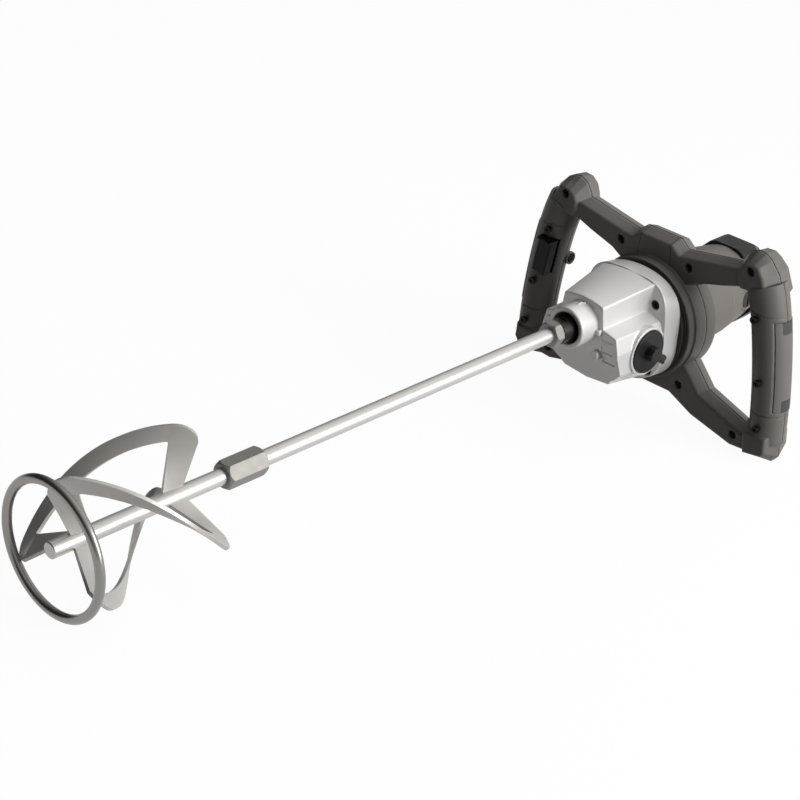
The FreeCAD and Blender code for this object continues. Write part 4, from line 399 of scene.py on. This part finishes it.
def moulded_rim(name, guarded, outward, inner_mm, outer_mm, depth_mm):
    """A rounded ring round a cap, with its axis across the tool."""
    low = Vector([min(point[axis] for point in guarded) for axis in range(3)])
    high = Vector([max(point[axis] for point in guarded) for axis in range(3)])
    narrowing = inner_mm / outer_mm
    bpy.ops.object.select_all(action="DESELECT")
    bpy.ops.mesh.primitive_circle_add(vertices=72, radius=outer_mm * mm, fill_type="NOTHING")
    rim = bpy.context.object
    rim.name = name
    bpy.ops.object.mode_set(mode="EDIT")
    bpy.ops.mesh.select_all(action="SELECT")
    bpy.ops.mesh.extrude_edges_move()
    bpy.ops.transform.resize(value=(narrowing, narrowing, 1))
    bpy.ops.object.mode_set(mode="OBJECT")
    wall = rim.modifiers.new("rim_wall", "SOLIDIFY")
    wall.thickness = depth_mm * mm
    wall.offset = 0
    bpy.ops.object.modifier_apply(modifier=wall.name)
    edges = rim.modifiers.new("rim_edges", "BEVEL")
    edges.width = rim_round_mm * mm
    edges.segments = 3
    bpy.ops.object.modifier_apply(modifier=edges.name)
    middle = (low + high) / 2
    face = high.x if outward > 0 else low.x
    middle.x = face - outward * (depth_mm / 2 + rim_set_back_mm) * mm
    rim.matrix_world = Matrix.Translation(middle) @ Matrix.Rotation(math.pi / 2, 4, "Y")
    bpy.ops.object.transform_apply(location=True, rotation=True, scale=True)
    bpy.ops.object.mode_set(mode="EDIT")
    bpy.ops.mesh.select_all(action="SELECT")
    bpy.ops.mesh.normals_make_consistent(inside=False)
    bpy.ops.object.mode_set(mode="OBJECT")
    bpy.ops.object.shade_smooth_by_angle(angle=smooth_below)
    rim.data.materials.append(grey_nylon.material)
    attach(rim, "root")


cap_points = [vertex.co for vertex in frame["nodes"]["brush_caps"].data.vertices]
for side, side_name in ((1, "right"), (-1, "left")):
    on_side = [point for point in cap_points if point.x * side > 0]
    moulded_rim(f"{side_name}_brush_cap_rim", on_side, side, inner_mm=9.3, outer_mm=12.0, depth_mm=3.0)
button_points = [vertex.co for vertex in frame["nodes"]["lock_button"].data.vertices]
moulded_rim("lock_button_rim", button_points, 1, inner_mm=4.9, outer_mm=6.6, depth_mm=3.4)

# Grip panels: soft thermoplastic rubber let into both grips, matt and with a fine leathery grain. Along the
# seam, both ends of each panel are darker: painted shade where the head and the foot overhang the grip.
grip_rubber = new_look("soft_grip_rubber", edge_mm=0.8, finish={"Metallic": 0.0})
leather_mm = 1.6
seam_place = 135 * mm
painted_shade_half_width = 7 * mm
panel_middle = -21 * mm
unshaded_half_height = 32 * mm
patchy_gloss(grip_rubber, size_mm=25, detail=3.0, low=0.56, high=0.74)
raise_texture(
    grip_rubber, strength=0.15, depth_mm=0.2, texture="ShaderNodeTexVoronoi", height="Distance",
    links={"Scale": 1 / (leather_mm * mm)})
# Painted shade: the panel's ends along the seam are painted darker.
pad_axes = add_node(grip_rubber.tree, "ShaderNodeSeparateXYZ", links={"Vector": grip_rubber.along})
near_seam = add_node(grip_rubber.tree, "ShaderNodeMath", {"operation": "COMPARE"}, {
    0: pad_axes.outputs["Y"], 1: seam_place, 2: painted_shade_half_width})
in_middle = add_node(grip_rubber.tree, "ShaderNodeMath", {"operation": "COMPARE"}, {
    0: pad_axes.outputs["Z"], 1: panel_middle, 2: unshaded_half_height})
painted_shade_at_ends = add_node(grip_rubber.tree, "ShaderNodeMath", {"operation": "SUBTRACT", "use_clamp": True}, {
    0: near_seam.outputs["Value"], 1: in_middle.outputs["Value"]})
grip_with_painted_shade = add_node(grip_rubber.tree, "ShaderNodeMix", {"data_type": "RGBA"}, {
    "Factor": painted_shade_at_ends.outputs["Value"], first_colour: linear("#635f5c"), second_colour: linear("#34312f")})
grip_rubber.tree.links.new(grip_with_painted_shade.outputs[mixed_colour], grip_rubber.shader.inputs["Base Color"])
finish_nodes(grip_rubber, ("left_grip_pad", "right_grip_pad"))

# Trigger, lock-on button and switch: black acetal, which slides without grease in the switch's guides. It is
# matt, with a faint polish where the finger rests. Their black is darker than the black mouldings': partly
# their own colour and partly painted shade.
# Partly painted shade: this black is darker than the black mouldings'.
black_acetal_painted_shade = new_look("matt_black_acetal_painted_shade", edge_mm=0.6, finish={
    "Base Color": linear("#080808"), "Metallic": 0.0, "Specular IOR Level": 0.15})
patchy_gloss(black_acetal_painted_shade, size_mm=12, detail=2.0, low=0.46, high=0.66)
finish_nodes(black_acetal_painted_shade, ("trigger", "lock_button", "switch_module"))

# Black mouldings: selector knob, rear cap, brush caps, joint ring, fan with its baffle, and cord inlet. All
# are nylon dyed black, with the grey shells' spark-eroded grain and a low gloss on their rounded edges.
black_nylon = new_look("moulded_black_nylon", edge_mm=0.9, finish={
    "Base Color": linear("#1b1a1a"), "Metallic": 0.0, "Specular IOR Level": 0.3})
patchy_gloss(black_nylon, size_mm=15, detail=3.0, low=0.32, high=0.5)
raise_texture(
    black_nylon, strength=0.1, depth_mm=0.1, texture="ShaderNodeTexNoise", height="Fac",
    links={"Scale": 1 / (spark_mm * mm), "Detail": 2.0})
finish_nodes(black_nylon, (
    "selector_knob", "rear_cap", "brush_caps", "case_joint_ring", "fan_baffle", "cooling_fan", "cord_inlet"))

# Carbon brushes: pressed graphite, held in the bronze holders and pushed on the commutator. They are dark
# grey, with a soft metallic sheen.
graphite = new_look("pressed_graphite", edge_mm=0.2, finish={
    "Base Color": linear("#2b2b2d"), "Metallic": 0.3})
patchy_gloss(graphite, size_mm=1.0, detail=4.0, low=0.42, high=0.68)
finish_nodes(graphite, ("carbon_brushes",))

# Screws of the handle, gear case and rear cap: rolled steel screws, sunk in their pockets. Their black zinc
# plating is uneven in gloss.
screw_black = new_look("black_zinc_screw", edge_mm=0.3, finish={
    "Base Color": linear("#232322"), "Metallic": 1.0})
patchy_gloss(screw_black, size_mm=2.0, detail=3.0, low=0.32, high=0.55)
finish_nodes(screw_black, ("handle_screws", "gear_case_screws", "rear_cap_screws"))

# Stator and armature cores: stacks of stamped electrical steel sheets, the one pressed into the housing and
# the other on the shaft. The sheets are drawn at 1 mm so that they show.
laminations = new_look("stamped_laminations", edge_mm=0.2, finish={
    "Base Color": linear("#6d6d6f"), "Metallic": 1.0, "Roughness": 0.5})
sheet_mm = 1.0
raise_texture(
    laminations, strength=0.3, depth_mm=0.2, texture="ShaderNodeTexWave", height="Fac",
    settings={"bands_direction": "Y"}, links={"Scale": metre_band / (sheet_mm * mm)})
finish_nodes(laminations, ("stator_core", "armature_core"))

# Field coils and commutator: enamelled copper wire, wound in close turns about 1 mm thick, and copper bars on
# the armature's shaft.
copper = new_look("enamelled_copper", edge_mm=0.3, finish={
    "Base Color": linear("#a5613a"), "Metallic": 1.0, "Roughness": 0.32})
wire_mm = 1.0
raise_texture(
    copper, strength=0.4, depth_mm=0.3, texture="ShaderNodeTexWave", height="Fac",
    settings={"bands_direction": "X"}, links={"Scale": metre_band / (wire_mm * mm), "Distortion": 0.6})
finish_nodes(copper, ("field_coils", "commutator"))
